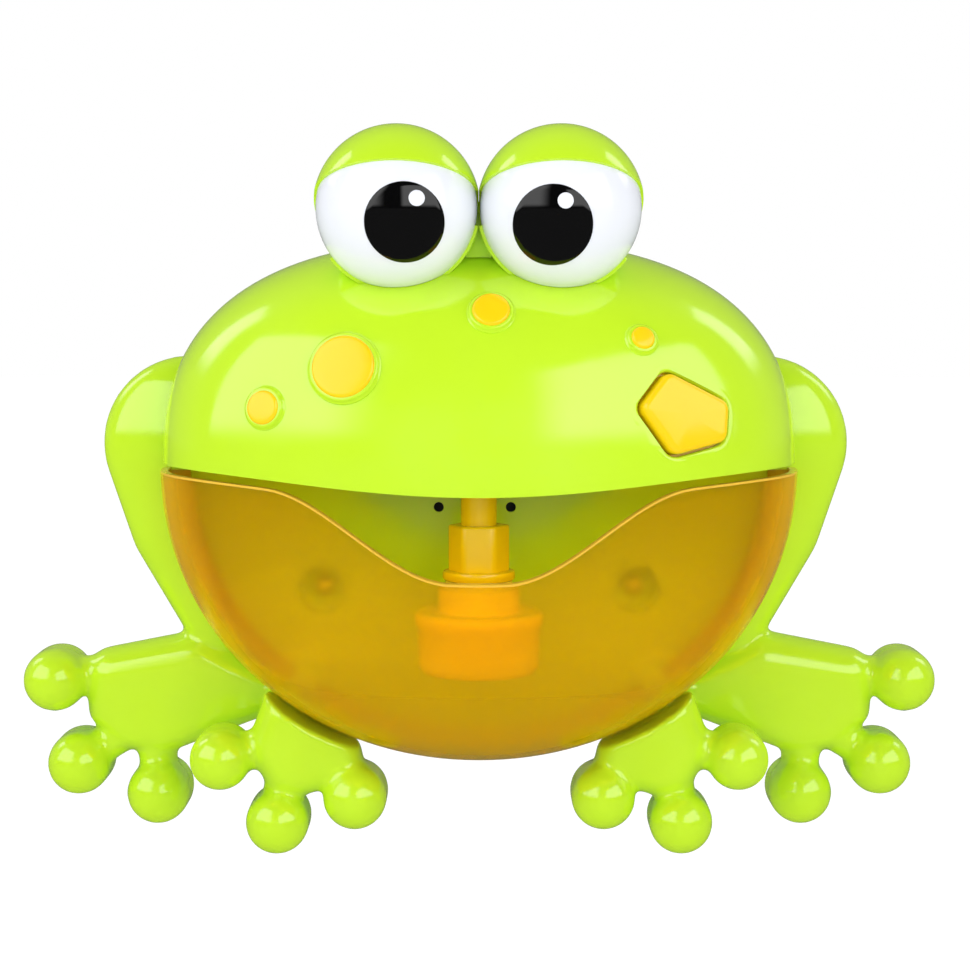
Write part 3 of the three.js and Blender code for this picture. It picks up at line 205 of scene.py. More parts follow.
def addPiece(name, bm, body, material, replaced=(), bevel=0.0, bevelSteps=3, bevelAngle=38, wall=0.0):
    bmesh.ops.scale(bm, vec=(mm, mm, mm), verts=bm.verts)
    mesh = bpy.data.meshes.new(name)
    bm.to_mesh(mesh)
    bm.free()
    mesh.polygons.foreach_set("use_smooth", [True] * len(mesh.polygons))
    mesh.set_sharp_from_angle(angle=math.radians(42))
    mesh.materials.append(material)
    piece = bpy.data.objects.new(name, mesh)
    bpy.context.scene.collection.objects.link(piece)
    if wall:
        shell = piece.modifiers.new("wall", "SOLIDIFY")
        shell.thickness = wall * mm
        shell.offset = -1
        shell.use_even_offset = True
    if bevel:
        edge = piece.modifiers.new("edges", "BEVEL")
        edge.width = bevel * mm
        edge.segments = bevelSteps
        edge.limit_method = "ANGLE"
        edge.angle_limit = math.radians(bevelAngle)
    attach(piece, body)
    if replaced:
        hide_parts(*replaced)
    return piece


def joined(parts):
    bm = bmesh.new()
    for part in parts:
        mesh = bpy.data.meshes.new("part")
        part.to_mesh(mesh)
        part.free()
        bm.from_mesh(mesh)
        bpy.data.meshes.remove(mesh)
    return bm


# Runs one modifier on a bmesh, with another as its tool where it needs one, and returns the result
def modified(bm, kind, settings, tool=None):
    held = []
    for part in [bm] + ([tool] if tool else []):
        mesh = bpy.data.meshes.new("held")
        part.to_mesh(mesh)
        part.free()
        held.append(bpy.data.objects.new("held", mesh))
        bpy.context.scene.collection.objects.link(held[-1])
    modifier = held[0].modifiers.new("change", kind)
    for key, value in settings.items():
        setattr(modifier, key, value)
    if tool:
        modifier.object = held[1]
    shaped = held[0].evaluated_get(bpy.context.evaluated_depsgraph_get())
    result = bmesh.new()
    result.from_mesh(shaped.to_mesh())
    shaped.to_mesh_clear()
    for thing in held:
        mesh = thing.data
        bpy.data.objects.remove(thing)
        bpy.data.meshes.remove(mesh)
    return result


def cutBy(bm, tool):
    return modified(bm, "BOOLEAN", {"operation": "DIFFERENCE", "solver": "MANIFOLD"}, tool)


def keptIn(bm, tool):
    return modified(bm, "BOOLEAN", {"operation": "INTERSECT", "solver": "MANIFOLD"}, tool)


# One closed skin over everything in the bmesh, softened where its forms meet
def melted(bm, voxel, rounds, strength=0.5):
    bm = modified(bm, "REMESH", {"mode": "VOXEL", "voxel_size": voxel, "use_smooth_shade": True})
    for _ in range(rounds):
        bmesh.ops.smooth_vert(bm, verts=bm.verts, factor=strength,
                              use_axis_x=True, use_axis_y=True, use_axis_z=True)
    return bm


def boxShape(low, high):
    bm = bmesh.new()
    bmesh.ops.create_cube(bm, size=1)
    size = Vector(high) - Vector(low)
    bmesh.ops.scale(bm, vec=size, verts=bm.verts)
    bmesh.ops.translate(bm, vec=Vector(low) + size / 2, verts=bm.verts)
    return bm


def barShape(x, z, y0, y1, radius, segments=40):
    bm = bmesh.new()
    bmesh.ops.create_cone(bm, cap_ends=True, segments=segments, radius1=radius, radius2=radius, depth=abs(y1 - y0))
    bmesh.ops.rotate(bm, verts=bm.verts, cent=(0, 0, 0), matrix=Matrix.Rotation(math.radians(90), 3, "X"))
    bmesh.ops.translate(bm, vec=(x, (y0 + y1) / 2, z), verts=bm.verts)
    return bm


# Spins a profile of (radius, height) pairs round +Z, then turns and moves it by a matrix
def turned(profile, steps, matrix, closed=False):
    bm = bmesh.new()
    verts = [bm.verts.new((radius, 0, height)) for radius, height in profile]
    pairs = list(zip(verts, verts[1:])) + ([(verts[-1], verts[0])] if closed else [])
    edges = [bm.edges.new(pair) for pair in pairs]
    bmesh.ops.spin(bm, geom=verts + edges, cent=(0, 0, 0), axis=(0, 0, 1), angle=2 * math.pi,
                   steps=steps, use_merge=True)
    bmesh.ops.remove_doubles(bm, verts=bm.verts, dist=1e-4)
    bmesh.ops.recalc_face_normals(bm, faces=bm.faces)
    bmesh.ops.transform(bm, matrix=matrix, verts=bm.verts)
    return bm


alongY = Matrix.Rotation(math.radians(-90), 4, "X")  # takes +Z to +Y


# Leaves only the convex hull of a bmesh's vertices
def hullOf(bm):
    bmesh.ops.delete(bm, geom=bm.edges[:], context="EDGES_FACES")
    hull = bmesh.ops.convex_hull(bm, input=bm.verts[:], use_existing_faces=False)
    spare = {v for v in hull["geom_interior"] + hull["geom_unused"] if isinstance(v, bmesh.types.BMVert)}
    bmesh.ops.delete(bm, geom=list(spare), context="VERTS")
    bmesh.ops.recalc_face_normals(bm, faces=bm.faces)
    return bm


# The tight skin round ellipsoids, each (x, y, z, radius across, half depth)
def skinOf(balls, detail=4):
    bm = bmesh.new()
    for x, y, z, radius, half in balls:
        place = Matrix.Translation((x, y, z)) @ Matrix.Diagonal((radius, half, radius, 1))
        bmesh.ops.create_icosphere(bm, subdivisions=detail, radius=1, matrix=place)
    return hullOf(bm)


def extruded(bm, faces, vec):
    grown = bmesh.ops.extrude_face_region(bm, geom=faces)["geom"]
    bmesh.ops.translate(bm, vec=vec, verts=[v for v in grown if isinstance(v, bmesh.types.BMVert)])


def rounded(bm, edges, size, segments, clamp=False):
    bmesh.ops.bevel(bm, geom=edges, offset=size, offset_type="OFFSET", affect="EDGES", segments=segments,
                    profile=0.5, material=-1, clamp_overlap=clamp)


def power(value, exponent):
    return math.copysign(abs(value) ** exponent, value)


# A superellipsoid with its poles to the front and the back; squareness differs across and in depth
def superDome(size, grow=0.0):
    bm = bmesh.new()
    bmesh.ops.create_uvsphere(bm, u_segments=size["around"], v_segments=size["rings"], radius=1)
    bmesh.ops.rotate(bm, verts=bm.verts, cent=(0, 0, 0), matrix=Matrix.Rotation(math.radians(90), 3, "X"))
    for v in bm.verts:
        ring = math.hypot(v.co.x, v.co.z)
        across = (v.co.x / ring, v.co.z / ring) if ring > 1e-6 else (0, 0)
        shrink = ring ** (2 / size["depthSquare"])
        v.co.y = size["y"] + (size["depth"] + grow) * power(v.co.y, 2 / size["depthSquare"])
        v.co.x = (size["halfWidth"] + grow) * shrink * power(across[0], 2 / size["square"])
        v.co.z = size["z"] + (size["height"] + grow) * shrink * power(across[1], 2 / size["square"])
    return bm


def sliced(bm, point, normal):
    geom = bm.verts[:] + bm.edges[:] + bm.faces[:]
    bmesh.ops.bisect_plane(bm, geom=geom, dist=1e-5, plane_co=point, plane_no=normal, clear_outer=True)


# Cuts along a height that changes across the width: the mesh is sheared flat, sliced and sheared back
def slicedAlong(bm, heightAt, keepAbove):
    for v in bm.verts:
        v.co.z -= heightAt(v.co.x)
    sliced(bm, (0, 0, 0), (0, 0, -1 if keepAbove else 1))
    for v in bm.verts:
        v.co.z += heightAt(v.co.x)


# Head dome

headSize = {
    "halfWidth": 92.8, "height": 65.9, "depth": 61, "y": -34, "z": 6, "square": 2.53, "depthSquare": 2.53,
    "around": 160, "rings": 80, "wall": 2.2, "lipSide": 7, "lipDroop": 6, "backGap": 0.3, "edge": 0.7,
}


def lipHeight(x):
    along = min(1, abs(x) / headSize["halfWidth"])
    return headSize["lipSide"] - headSize["lipDroop"] * math.cos(math.pi / 2 * along) ** 2


# Point, normal and placing matrix on the dome at a front-view place
def onHead(x, z):
    n = headSize["square"]
    share = abs(x / headSize["halfWidth"]) ** n + abs((z - headSize["z"]) / headSize["height"]) ** n
    forward = headSize["depth"] * (1 - share) ** (1 / n)
    lean = [power(x, n - 1) / headSize["halfWidth"] ** n, power(-forward, n - 1) / headSize["depth"] ** n,
            power(z - headSize["z"], n - 1) / headSize["height"] ** n]
    normal = Vector(lean).normalized()
    across = Vector((0, 0, 1)).cross(normal).normalized()
    up = normal.cross(across)
    point = Vector((x, headSize["y"] - forward, z))
    matrix = Matrix((across, up, normal)).transposed().to_4x4()
    matrix.translation = point
    return point, normal, matrix


buttonSize = {
    "corners": [(51.2, 34.8), (43.6, 25.2), (52.9, 12), (67.8, 15.6), (68.5, 26)],
    "round": 2.6, "roundSteps": 8, "top": 1.7, "low": -4.6, "crown": 0.4,
    "flange": 2.2, "flangeLow": -5.8, "stem": 2.6, "stemLow": -8.4,
}
buttonMiddle = [sum(c[i] for c in buttonSize["corners"]) / len(buttonSize["corners"]) for i in (0, 1)]
buttonPoint, buttonNormal, buttonMatrix = onHead(*buttonMiddle)


def buttonCorners():
    inside = buttonMatrix.inverted()
    flat = []
    for x, z in buttonSize["corners"]:
        dx, dz = x - buttonPoint.x, z - buttonPoint.z
        dy = -(dx * buttonNormal.x + dz * buttonNormal.z) / buttonNormal.y
        flat.append((inside @ (buttonPoint + Vector((dx, dy, dz)))).to_2d())
    return flat


# The button's outline grown by a margin, as points in the button's own plane
def buttonOutline(grow):
    flat = buttonCorners()
    count = len(flat)
    alongs = [(flat[(i + 1) % count] - p).normalized() for i, p in enumerate(flat)]
    starts = [p + Vector((a.y, -a.x)) * grow for p, a in zip(flat, alongs)]
    points = []
    for i in range(count):
        last = i - 1
        reach = (starts[i] - starts[last]).cross(alongs[i]) / alongs[last].cross(alongs[i])
        corner = starts[last] + alongs[last] * reach
        size = buttonSize["round"] + max(grow, -1.5)
        before, after = corner - alongs[last] * size, corner + alongs[i] * size
        for step in range(buttonSize["roundSteps"] + 1):
            t = step / buttonSize["roundSteps"]
            points.append(before * (1 - t) ** 2 + corner * 2 * t * (1 - t) + after * t ** 2)
    return points


def headSurfaceAt(x, y):
    low, high = -6.0, 6.0
    for _ in range(30):
        middle = (low + high) / 2
        p = buttonMatrix @ Vector((x, y, middle))
        n = headSize["square"]
        share = (abs(p.x / headSize["halfWidth"]) ** n + abs((p.y - headSize["y"]) / headSize["depth"]) ** n
                 + abs((p.z - headSize["z"]) / headSize["height"]) ** n)
        low, high = (middle, high) if share < 1 else (low, middle)
    return middle


# Bridges a stack of loops, each (points in the button's plane, heights), into a skin
def loopSkin(loops, matrix, capLast=False):
    bm = bmesh.new()
    lastEdges = None
    for points in loops:
        verts = [bm.verts.new(matrix @ Vector(p)) for p in points]
        edges = [bm.edges.new((verts[i - 1], v)) for i, v in enumerate(verts)]
        if lastEdges:
            bmesh.ops.bridge_loops(bm, edges=lastEdges + edges)
        lastEdges = edges
    if capLast:
        bmesh.ops.edgeloop_fill(bm, edges=lastEdges)
    bmesh.ops.recalc_face_normals(bm, faces=bm.faces)
    return bm


head = superDome(headSize)
sliced(head, (0, headSize["y"] - headSize["backGap"], 0), (0, 1, 0))
slicedAlong(head, lipHeight, keepAbove=True)

# the button's hole: five straight cuts under its rounded edge, then the inside goes
holeGrow = 1.2
flatCorners = buttonCorners()
near = [f for f in head.faces if (f.calc_center_median() - buttonPoint).length < 34]
for i, corner in enumerate(flatCorners):
    along = (flatCorners[(i + 1) % len(flatCorners)] - corner).normalized()
    out = Vector((along.y, -along.x))
    point = buttonMatrix @ (corner + out * holeGrow).to_3d()
    normal = buttonMatrix.to_3x3() @ out.to_3d()
    touched = {v for f in near for v in f.verts} | {e for f in near for e in f.edges} | set(near)
    bmesh.ops.bisect_plane(head, geom=list(touched), dist=1e-5, plane_co=point, plane_no=normal)
    near = [f for f in head.faces if (f.calc_center_median() - buttonPoint).length < 34]


def insideButton(point):
    local = (buttonMatrix.inverted() @ point).to_2d()
    for i, corner in enumerate(flatCorners):
        along = (flatCorners[(i + 1) % len(flatCorners)] - corner).normalized()
        if (local - corner).dot(Vector((along.y, -along.x))) > holeGrow:
            return False
    return True


inside = [f for f in near if insideButton(f.calc_center_median())]
bmesh.ops.delete(head, geom=inside, context="FACES")
addPiece("head_dome", head, "frog_body", greenAbs, ["head_shell"],
         bevel=headSize["edge"], bevelSteps=3, bevelAngle=50, wall=headSize["wall"])

# rounded edge of the hole, flush with the dome outside and dropping into the dark gap inside
rimSteps = [(3.7, -0.07), (2.9, 0.015), (2.3, 0.03), (1.9, 0.02), (1.6, -0.03), (1.3, -0.14), (1.05, -0.32),
            (0.85, -0.6), (0.73, -1.0), (0.7, -1.5), (0.7, -4.2), (2.6, -4.2), (2.6, -0.9)]
rimLoops = []
for grow, height in rimSteps:
    flat = buttonOutline(grow)
    rimLoops.append([(p.x, p.y, headSurfaceAt(p.x, p.y) + height) for p in flat])
addPiece("button_rim", loopSkin(rimLoops + [rimLoops[0]], buttonMatrix), "frog_body", greenAbs)

# the button: crowned face with a soft edge, skirt, flange and stem
buttonSteps = [(0, -1.9), (-0.06, -1.35), (-0.22, -0.9), (-0.5, -0.52), (-0.9, -0.24), (-1.4, -0.07), (-2.1, 0.0)]
buttonLoops = [[(p.x, p.y, buttonSize["top"] + height) for p in buttonOutline(grow)] for grow, height in buttonSteps]
for share in (0.75, 0.5, 0.25):
    buttonLoops.append([(x * share, y * share, buttonSize["top"] + buttonSize["crown"] * (1 - share ** 2))
                        for x, y, _ in buttonLoops[len(buttonSteps) - 1]])
flange = [[(p.x, p.y, h) for p in buttonOutline(g)] for g, h in (
    (-4, buttonSize["flangeLow"]), (buttonSize["flange"], buttonSize["flangeLow"]),
    (buttonSize["flange"], buttonSize["low"]), (0, buttonSize["low"]))]
stem = turned([(0, buttonSize["stemLow"]), (buttonSize["stem"], buttonSize["stemLow"]),
               (buttonSize["stem"], buttonSize["flangeLow"])], 32, buttonMatrix)
buttonBody = loopSkin(flange + buttonLoops, buttonMatrix, capLast=True)
addPiece("button_cap", joined([buttonBody, stem]), "power_button", yellowAbs, ["power_button"])
print("head and button made")

# Spots: yellow discs pressed into raised green bosses

spotSize = {
    "places": [("spot_left_small", -58.4, 24.8, 4.7), ("spot_left_large", -36.4, 35.9, 8.7),
               ("spot_middle", 3.4, 50.9, 5.2), ("spot_right_small", 44.5, 43.4, 3.3)],
    "rim": 0.95, "bossTop": 1.1, "top": 1.95, "edge": 0.9, "foot": -3.0, "crown": 0.12,
}
bosses = []
for name, x, z, radius in spotSize["places"]:
    matrix = onHead(x, z)[2]
    wall, top = radius + spotSize["rim"], spotSize["bossTop"]
    bosses.append(turned([
        (0, spotSize["foot"]), (wall + 0.7, spotSize["foot"]), (wall + 0.6, -0.1), (wall + 0.3, 0.12),
        (wall + 0.1, 0.4), (wall - 0.04, top - 0.35), (wall - 0.2, top - 0.12), (wall - 0.45, top),
        (radius, top), (0, top)], 72, matrix))
    edge, high = spotSize["edge"], spotSize["top"]
    profile = [(0, spotSize["foot"] + 0.5), (radius, spotSize["foot"] + 0.5), (radius, high - edge)]
    for step in range(1, 6):
        angle = math.radians(18 * step)
        profile.append((radius - edge * (1 - math.cos(angle)), high - edge * (1 - math.sin(angle))))
    profile += [(radius * share, high + spotSize["crown"] * (1 - share ** 2)) for share in (0.6, 0.3, 0)]
    addPiece(name + "_disc", turned(profile, 72, matrix), "frog_body", yellowAbs, [name])
addPiece("spot_bosses", joined(bosses), "frog_body", greenAbs)
print("spots made")

# Eyes: a white ball sunk into the dome, under a hood that is a shell round it, open in front below its lid
# and ahead of its sides, with a collar left that rises towards the other eye

eyeSize = {
    "x": 22.7, "y": -73, "z": 79.4, "white": 22.35, "hood": 23.2, "wall": 1.2, "lidEdge": 0.4, "lidAngle": 0.9,
    "meeting": 0.05, "webLow": (-3.5, -68, 66), "webHigh": (3.5, -63, 81.5),
    "lid": (68, -4.1), "side": (41, -2.9), "collarFront": -75, "collarHigh": 74.5, "collarLean": 12.5,
    "pupilRadius": 10.8, "glintRadius": 2.15, "inlay": 0.3,
    "pupils": {-1: (-19.8, 74.9), 1: (19.9, 74.2)}, "glints": {-1: (-16.4, 81.2), 1: (23.2, 80.5)},
}


def eyeBall(side, radius, around=120, rings=60):
    place = Matrix.Translation((side * eyeSize["x"], eyeSize["y"], eyeSize["z"]))
    bm = bmesh.new()
    bmesh.ops.create_uvsphere(bm, u_segments=around, v_segments=rings, radius=radius,
                              matrix=place @ Matrix.Rotation(math.radians(90), 4, "X"))
    return bm


# Point and normal of a plane tipped forward at the eye's middle; the hood is open on the normal's side
def hoodPlane(side, tilt, forward):
    lean = math.radians(tilt)
    normal = Vector((0, -math.cos(lean), -math.sin(lean)))
    return Vector((side * eyeSize["x"], eyeSize["y"], eyeSize["z"])) + normal * forward, normal


def hoodShell(side):
    lean = math.radians(eyeSize["collarLean"])
    lid = hoodPlane(side, *eyeSize["lid"])
    flank = hoodPlane(side, *eyeSize["side"])
    collarTop = (Vector((0, 0, eyeSize["collarHigh"])), Vector((side * math.sin(lean), 0, math.cos(lean))))
    collarFront = (Vector((0, eyeSize["collarFront"], 0)), Vector((0, -1, 0)))
    hood = eyeBall(side, eyeSize["hood"])
    for point, normal in (lid, flank, collarTop, collarFront):
        bmesh.ops.bisect_plane(hood, geom=hood.verts[:] + hood.edges[:] + hood.faces[:], dist=1e-4,
                               plane_co=point, plane_no=normal)
    ahead = []
    for face in hood.faces:
        middle = face.calc_center_median()
        beyond = [(middle - point).dot(normal) > 0 for point, normal in (lid, flank, collarTop, collarFront)]
        if beyond[0] and beyond[1] and (beyond[2] or beyond[3]):
            ahead.append(face)
    bmesh.ops.delete(hood, geom=ahead, context="FACES")
    sliced(hood, (side * eyeSize["meeting"], 0, 0), (-side, 0, 0))
    return hood


# A round patch laid on the eyeball's front
def eyePatch(side, middle, radius, lift, rings):
    bm = bmesh.new()
    bmesh.ops.create_circle(bm, cap_ends=True, segments=72, radius=radius)
    for ring in range(rings):
        widest = max(bm.faces, key=lambda f: len(f.verts))
        bmesh.ops.inset_region(bm, faces=[widest], thickness=radius / (rings + 0.6),
                               use_even_offset=True, use_boundary=True)
    bmesh.ops.poke(bm, faces=[max(bm.faces, key=lambda f: len(f.verts))])
    for v in bm.verts:
        x, z = middle[0] + v.co.x, middle[1] + v.co.y
        away = math.hypot(x - side * eyeSize["x"], z - eyeSize["z"])
        v.co = (x, eyeSize["y"] - math.sqrt((eyeSize["white"] + lift) ** 2 - away ** 2), z)
    bmesh.ops.recalc_face_normals(bm, faces=bm.faces)
    if sum(f.normal.y for f in bm.faces) > 0:
        bmesh.ops.reverse_faces(bm, faces=bm.faces)
    return bm


for side, word in ((-1, "left"), (1, "right")):
    shell = modified(hoodShell(side), "SOLIDIFY",
                     {"thickness": eyeSize["wall"], "offset": -1, "use_even_offset": True})
    shell = modified(shell, "BEVEL", {"width": eyeSize["lidEdge"], "segments": 4,
                                      "limit_method": "ANGLE", "angle_limit": eyeSize["lidAngle"]})
    shell = cutBy(shell, superDome(headSize, 0.15))
    addPiece("eye_hood_shell_" + word, shell, "frog_body", greenAbs, ["eye_hood_" + word])
    ball = cutBy(eyeBall(side, eyeSize["white"]), superDome(headSize, 0.15))
    addPiece("eye_ball_" + word, ball, "frog_body", whiteAbs, ["eye_white_" + word])
    inlay = eyeSize["inlay"]
    pupil = eyePatch(side, eyeSize["pupils"][side], eyeSize["pupilRadius"], inlay, 7)
    addPiece("pupil_disc_" + word, pupil, "frog_body", blackLacquer, ["pupil_" + word],
             bevel=0.12, bevelSteps=2, wall=inlay)
    glint = eyePatch(side, eyeSize["glints"][side], eyeSize["glintRadius"], inlay * 1.5, 2)
    addPiece("glint_disc_" + word, glint, "frog_body", whiteAbs, ["eye_glint_" + word],
             bevel=0.05, bevelSteps=1, wall=inlay)
# a web closes the wedge between the hoods behind the whites
web = cutBy(boxShape(eyeSize["webLow"], eyeSize["webHigh"]), superDome(headSize, 0.15))
for side in (-1, 1):
    web = cutBy(web, eyeBall(side, eyeSize["hood"] - eyeSize["wall"] / 2))
addPiece("eye_hood_web", web, "frog_body", greenAbs)
print("eyes made")

# Bowl: the lower jaw, a clear shell with a dipped lip, a low wall behind and a flange up its back edge

bowlSize = {
    "halfWidth": 93.7, "height": 87.8, "depth": 60.2, "y": -34, "z": 6, "square": 2.04, "depthSquare": 2.53,
    "around": 160, "rings": 80, "wall": 2.2, "rimGap": 2.4, "dip": 21.6, "flat": 7.6, "reach": 58.6,
    "back": -35, "rearWall": -54, "flange": 8, "pane": 1.2, "edge": 0.2, "lip": 0.6, "lipEdge": 0.2,
    "lipGap": 0.02, "slideAngle": 3, "slide": 110,
}


def bowlRim(x):
    t = min(1, max(0, (abs(x) - bowlSize["flat"]) / (bowlSize["reach"] - bowlSize["flat"])))
    return lipHeight(x) - bowlSize["rimGap"] - bowlSize["dip"] * (1 - t * t * (3 - 2 * t))


bowl = superDome(bowlSize)
sliced(bowl, (0, bowlSize["back"], 0), (0, 1, 0))
rearFace = bmesh.ops.edgeloop_fill(bowl, edges=[e for e in bowl.edges if e.is_boundary])["faces"]
bmesh.ops.inset_region(bowl, faces=rearFace, thickness=bowlSize["flange"], use_even_offset=True)
rearWall = bmesh.new()
rearWall.faces.new([rearWall.verts.new(v.co) for v in rearFace[0].verts])
bmesh.ops.delete(bowl, geom=rearFace, context="FACES_ONLY")
slicedAlong(bowl, lambda x: bowlRim(x) - bowlSize["lip"] - bowlSize["lipGap"], keepAbove=False)
bmesh.ops.recalc_face_normals(bowl, faces=bowl.faces)
addPiece("bowl_shell", bowl, "bowl", orangePolystyrene, ["bowl"],
         bevel=bowlSize["edge"], bevelSteps=3, bevelAngle=50, wall=bowlSize["wall"])
lip = superDome(bowlSize)
sliced(lip, (0, bowlSize["back"], 0), (0, 1, 0))
slicedAlong(lip, bowlRim, keepAbove=False)
slicedAlong(lip, lambda x: bowlRim(x) - bowlSize["lip"], keepAbove=True)
bmesh.ops.recalc_face_normals(lip, faces=lip.faces)
for face in lip.faces:
    middle = face.calc_center_median()
    if face.normal.dot(middle - Vector((0, bowlSize["y"], bowlSize["z"]))) < 0:
        face.normal_flip()
addPiece("bowl_lip", lip, "bowl", lipPolystyrenePaintedLight,
         bevel=bowlSize["lipEdge"], bevelSteps=3, bevelAngle=50, wall=bowlSize["wall"])
sliced(rearWall, (0, 0, bowlSize["rearWall"]), (0, 0, 1))
extruded(rearWall, rearWall.faces[:], (0, -bowlSize["pane"], 0))
bmesh.ops.recalc_face_normals(rearWall, faces=rearWall.faces)
addPiece("bowl_rear_wall", rearWall, "bowl", rearPolystyrenePaintedLight)
print("bowl made")

# Body: one melted skin of block and limbs, hollowed, drilled and parted into two shells

bodySize = {
    "back": -8, "parting": -21, "belly": -34, "round": 7, "inset": 1.6, "wall": 2.2, "seam": 0.4,
    "steps": 44, "voxel": 0.95, "soften": 7,
}
limbSize = {
    "thigh": [(86.3, 11, 26.2, 12.6), (84.5, -12, 20.6, 12.4), (77, -43, 11.5, 9)],
    "palm": [(86, -55.2, 8.5, 9.8), (112, -59.3, 7.5, 9.4), (113.9, -70.4, 5.5, 8.6), (106, -77, 5.5, 8.6),
             (97, -78, 6, 8.6), (60, -65.5, 4.5, 8)],
    "hip": [(54.5, -69.5, 10.5, 13), (53, -60, 10, 13)], "hipY": -25,
    "rearToes": [((112, -59.6), (129, -60.9), 9.2), ((107, -76), (122, -86.5), 9.2),
                 ((99.3, -78), (98, -95.6), 9.2)],
    "frontLeg": [(50.5, -58, 10.5, 11), (52, -72, 11, 10.5), (60, -77, 8, 9.5), (55.5, -84.2, 8.4, 9.5),
                 (38.5, -83, 4.2, 8)], "frontY": -44,
    "frontToes": [((60, -77), (76.2, -80.5), 8.7), ((57, -83), (59.5, -99.2), 9),
                  ((51, -79.2), (36.6, -91.8), 9.1)],
    "thighShift": -1.1, "stalkRoot": 6.4, "stalkTip": 5.1, "toeDepth": 5.2,
    "grow": 0.35,  # makes up for what the softening takes off
}


# The body's outline from the front: the head's curve above, the bowl's below
def bodyOutline(inset, steps):
    points = []
    for size, start in ((headSize, 0), (bowlSize, math.pi)):
        for i in range(steps + 1):
            angle = start + math.pi * i / steps
            points.append(((size["halfWidth"] - inset) * power(math.cos(angle), 2 / size["square"]),
                           size["z"] + (size["height"] - inset) * power(math.sin(angle), 2 / size["square"])))
    return points


def bodyBlock(inset, y0, y1, round):
    bm = bmesh.new()
    verts = [bm.verts.new((x, y0, z)) for x, z in bodyOutline(inset, bodySize["steps"])]
    extruded(bm, [bm.faces.new(verts)], (0, y1 - y0, 0))
    bmesh.ops.remove_doubles(bm, verts=bm.verts, dist=0.02)
    bmesh.ops.recalc_face_normals(bm, faces=bm.faces)
    if round:
        rims = [e for e in bm.edges if abs(e.verts[0].co.y - e.verts[1].co.y) < 1e-4
                and e.verts[0].co.y > min(y0, y1) + 1]
        rounded(bm, rims, round, 6, clamp=True)
    return bm


def limb(balls, side, y, shift=0.0):
    grow = limbSize["grow"]
    return skinOf([(side * x + shift, y, z, radius + grow, half + grow) for x, z, radius, half in balls])


def toe(root, ball, radius, side, y):
    depth, thin, thick = limbSize["toeDepth"], limbSize["stalkTip"], limbSize["stalkRoot"]
    radius += limbSize["grow"]
    stalk = skinOf([(side * root[0], y, root[1], thick, thick + 1), (side * ball[0], y, ball[1], thin, thin + 2)], 3)
    tip = skinOf([(side * ball[0], y + way * depth, ball[1], radius, radius) for way in (-1, 1)])
    return [stalk, tip]


forms = [bodyBlock(bodySize["inset"], bodySize["belly"], bodySize["back"], bodySize["round"])]
for side in (-1, 1):
    forms.append(limb(limbSize["thigh"], side, bodySize["parting"], limbSize["thighShift"]))
    forms.append(limb(limbSize["palm"], side, bodySize["parting"]))
    forms.append(limb(limbSize["hip"], side, limbSize["hipY"]))
    for root, ball, radius in limbSize["rearToes"]:
        forms += toe(root, ball, radius, side, bodySize["parting"])
whole = melted(joined(forms), bodySize["voxel"], bodySize["soften"])
hollow = bodyBlock(bodySize["inset"] + bodySize["wall"], bodySize["belly"] + bodySize["wall"],
                   bodySize["back"] - bodySize["wall"], bodySize["round"] - bodySize["wall"])
whole = cutBy(whole, hollow)

backSize = {
    "cups": [(-36, 46), (36, 46), (-58, -28), (58, -28)], "cupHole": 3.7,
    "caseScrew": (71.8, 32), "caseHole": 3.4, "grille": (0, 38), "grilleRing": 7, "grilleHole": 1.5, "deep": -14,
    "door": (26.1, 21.6), "doorZ": -22, "doorTab": 39.8, "doorTabHalf": 5,
    "well": (46.9, -32.3, 7.2), "wellBack": -22.6, "wellWall": 1.2, "wellDeep": 11.5, "wellFloor": 1, "wellBore": 1.7,
    "vent": (10.75, -7.4, 1.5), "ventShift": -1.3, "frontDrill": (-60, -30),
}
deep, frontDrill = backSize["deep"], backSize["frontDrill"]
drills = [barShape(x, z, deep, 0, backSize["cupHole"]) for x, z in backSize["cups"]]
gx, gz = backSize["grille"]
for i in range(7):
    turn = i * math.pi / 3
    ring = backSize["grilleRing"] if i < 6 else 0
    drills.append(barShape(gx + ring * math.cos(turn), gz + ring * math.sin(turn), deep, 0,
                           backSize["grilleHole"], 24))
dx, dz = backSize["door"]
drills.append(boxShape((-dx, deep, backSize["doorZ"] - dz), (dx, 0, backSize["doorZ"] + dz)))
drills.append(boxShape((dx - 0.01, deep, backSize["doorZ"] - backSize["doorTabHalf"]),
                       (backSize["doorTab"], 0, backSize["doorZ"] + backSize["doorTabHalf"])))
wx, wz, wr = backSize["well"]
vx, vz, vr = backSize["vent"]
for side in (-1, 1):
    drills.append(barShape(side * backSize["caseScrew"][0], backSize["caseScrew"][1], deep, 0, backSize["caseHole"]))
    drills.append(barShape(side * wx, wz, *frontDrill, wr))
    drills.append(barShape(side * vx + backSize["ventShift"], vz, *frontDrill, vr, 28))
whole = cutBy(whole, joined(drills))

far, half = 400, bodySize["seam"] / 2
rearHalf = keptIn(whole.copy(), boxShape((-far, bodySize["parting"] + half, -far), (far, far, far)))
frontHalf = keptIn(whole, boxShape((-far, -far, -far), (far, bodySize["parting"] - half, far)))
addPiece("body_rear", rearHalf, "frog_body", greenAbs, ["rear_shell"])
addPiece("body_front", frontHalf, "frog_body", greenAbs, ["front_shell"])
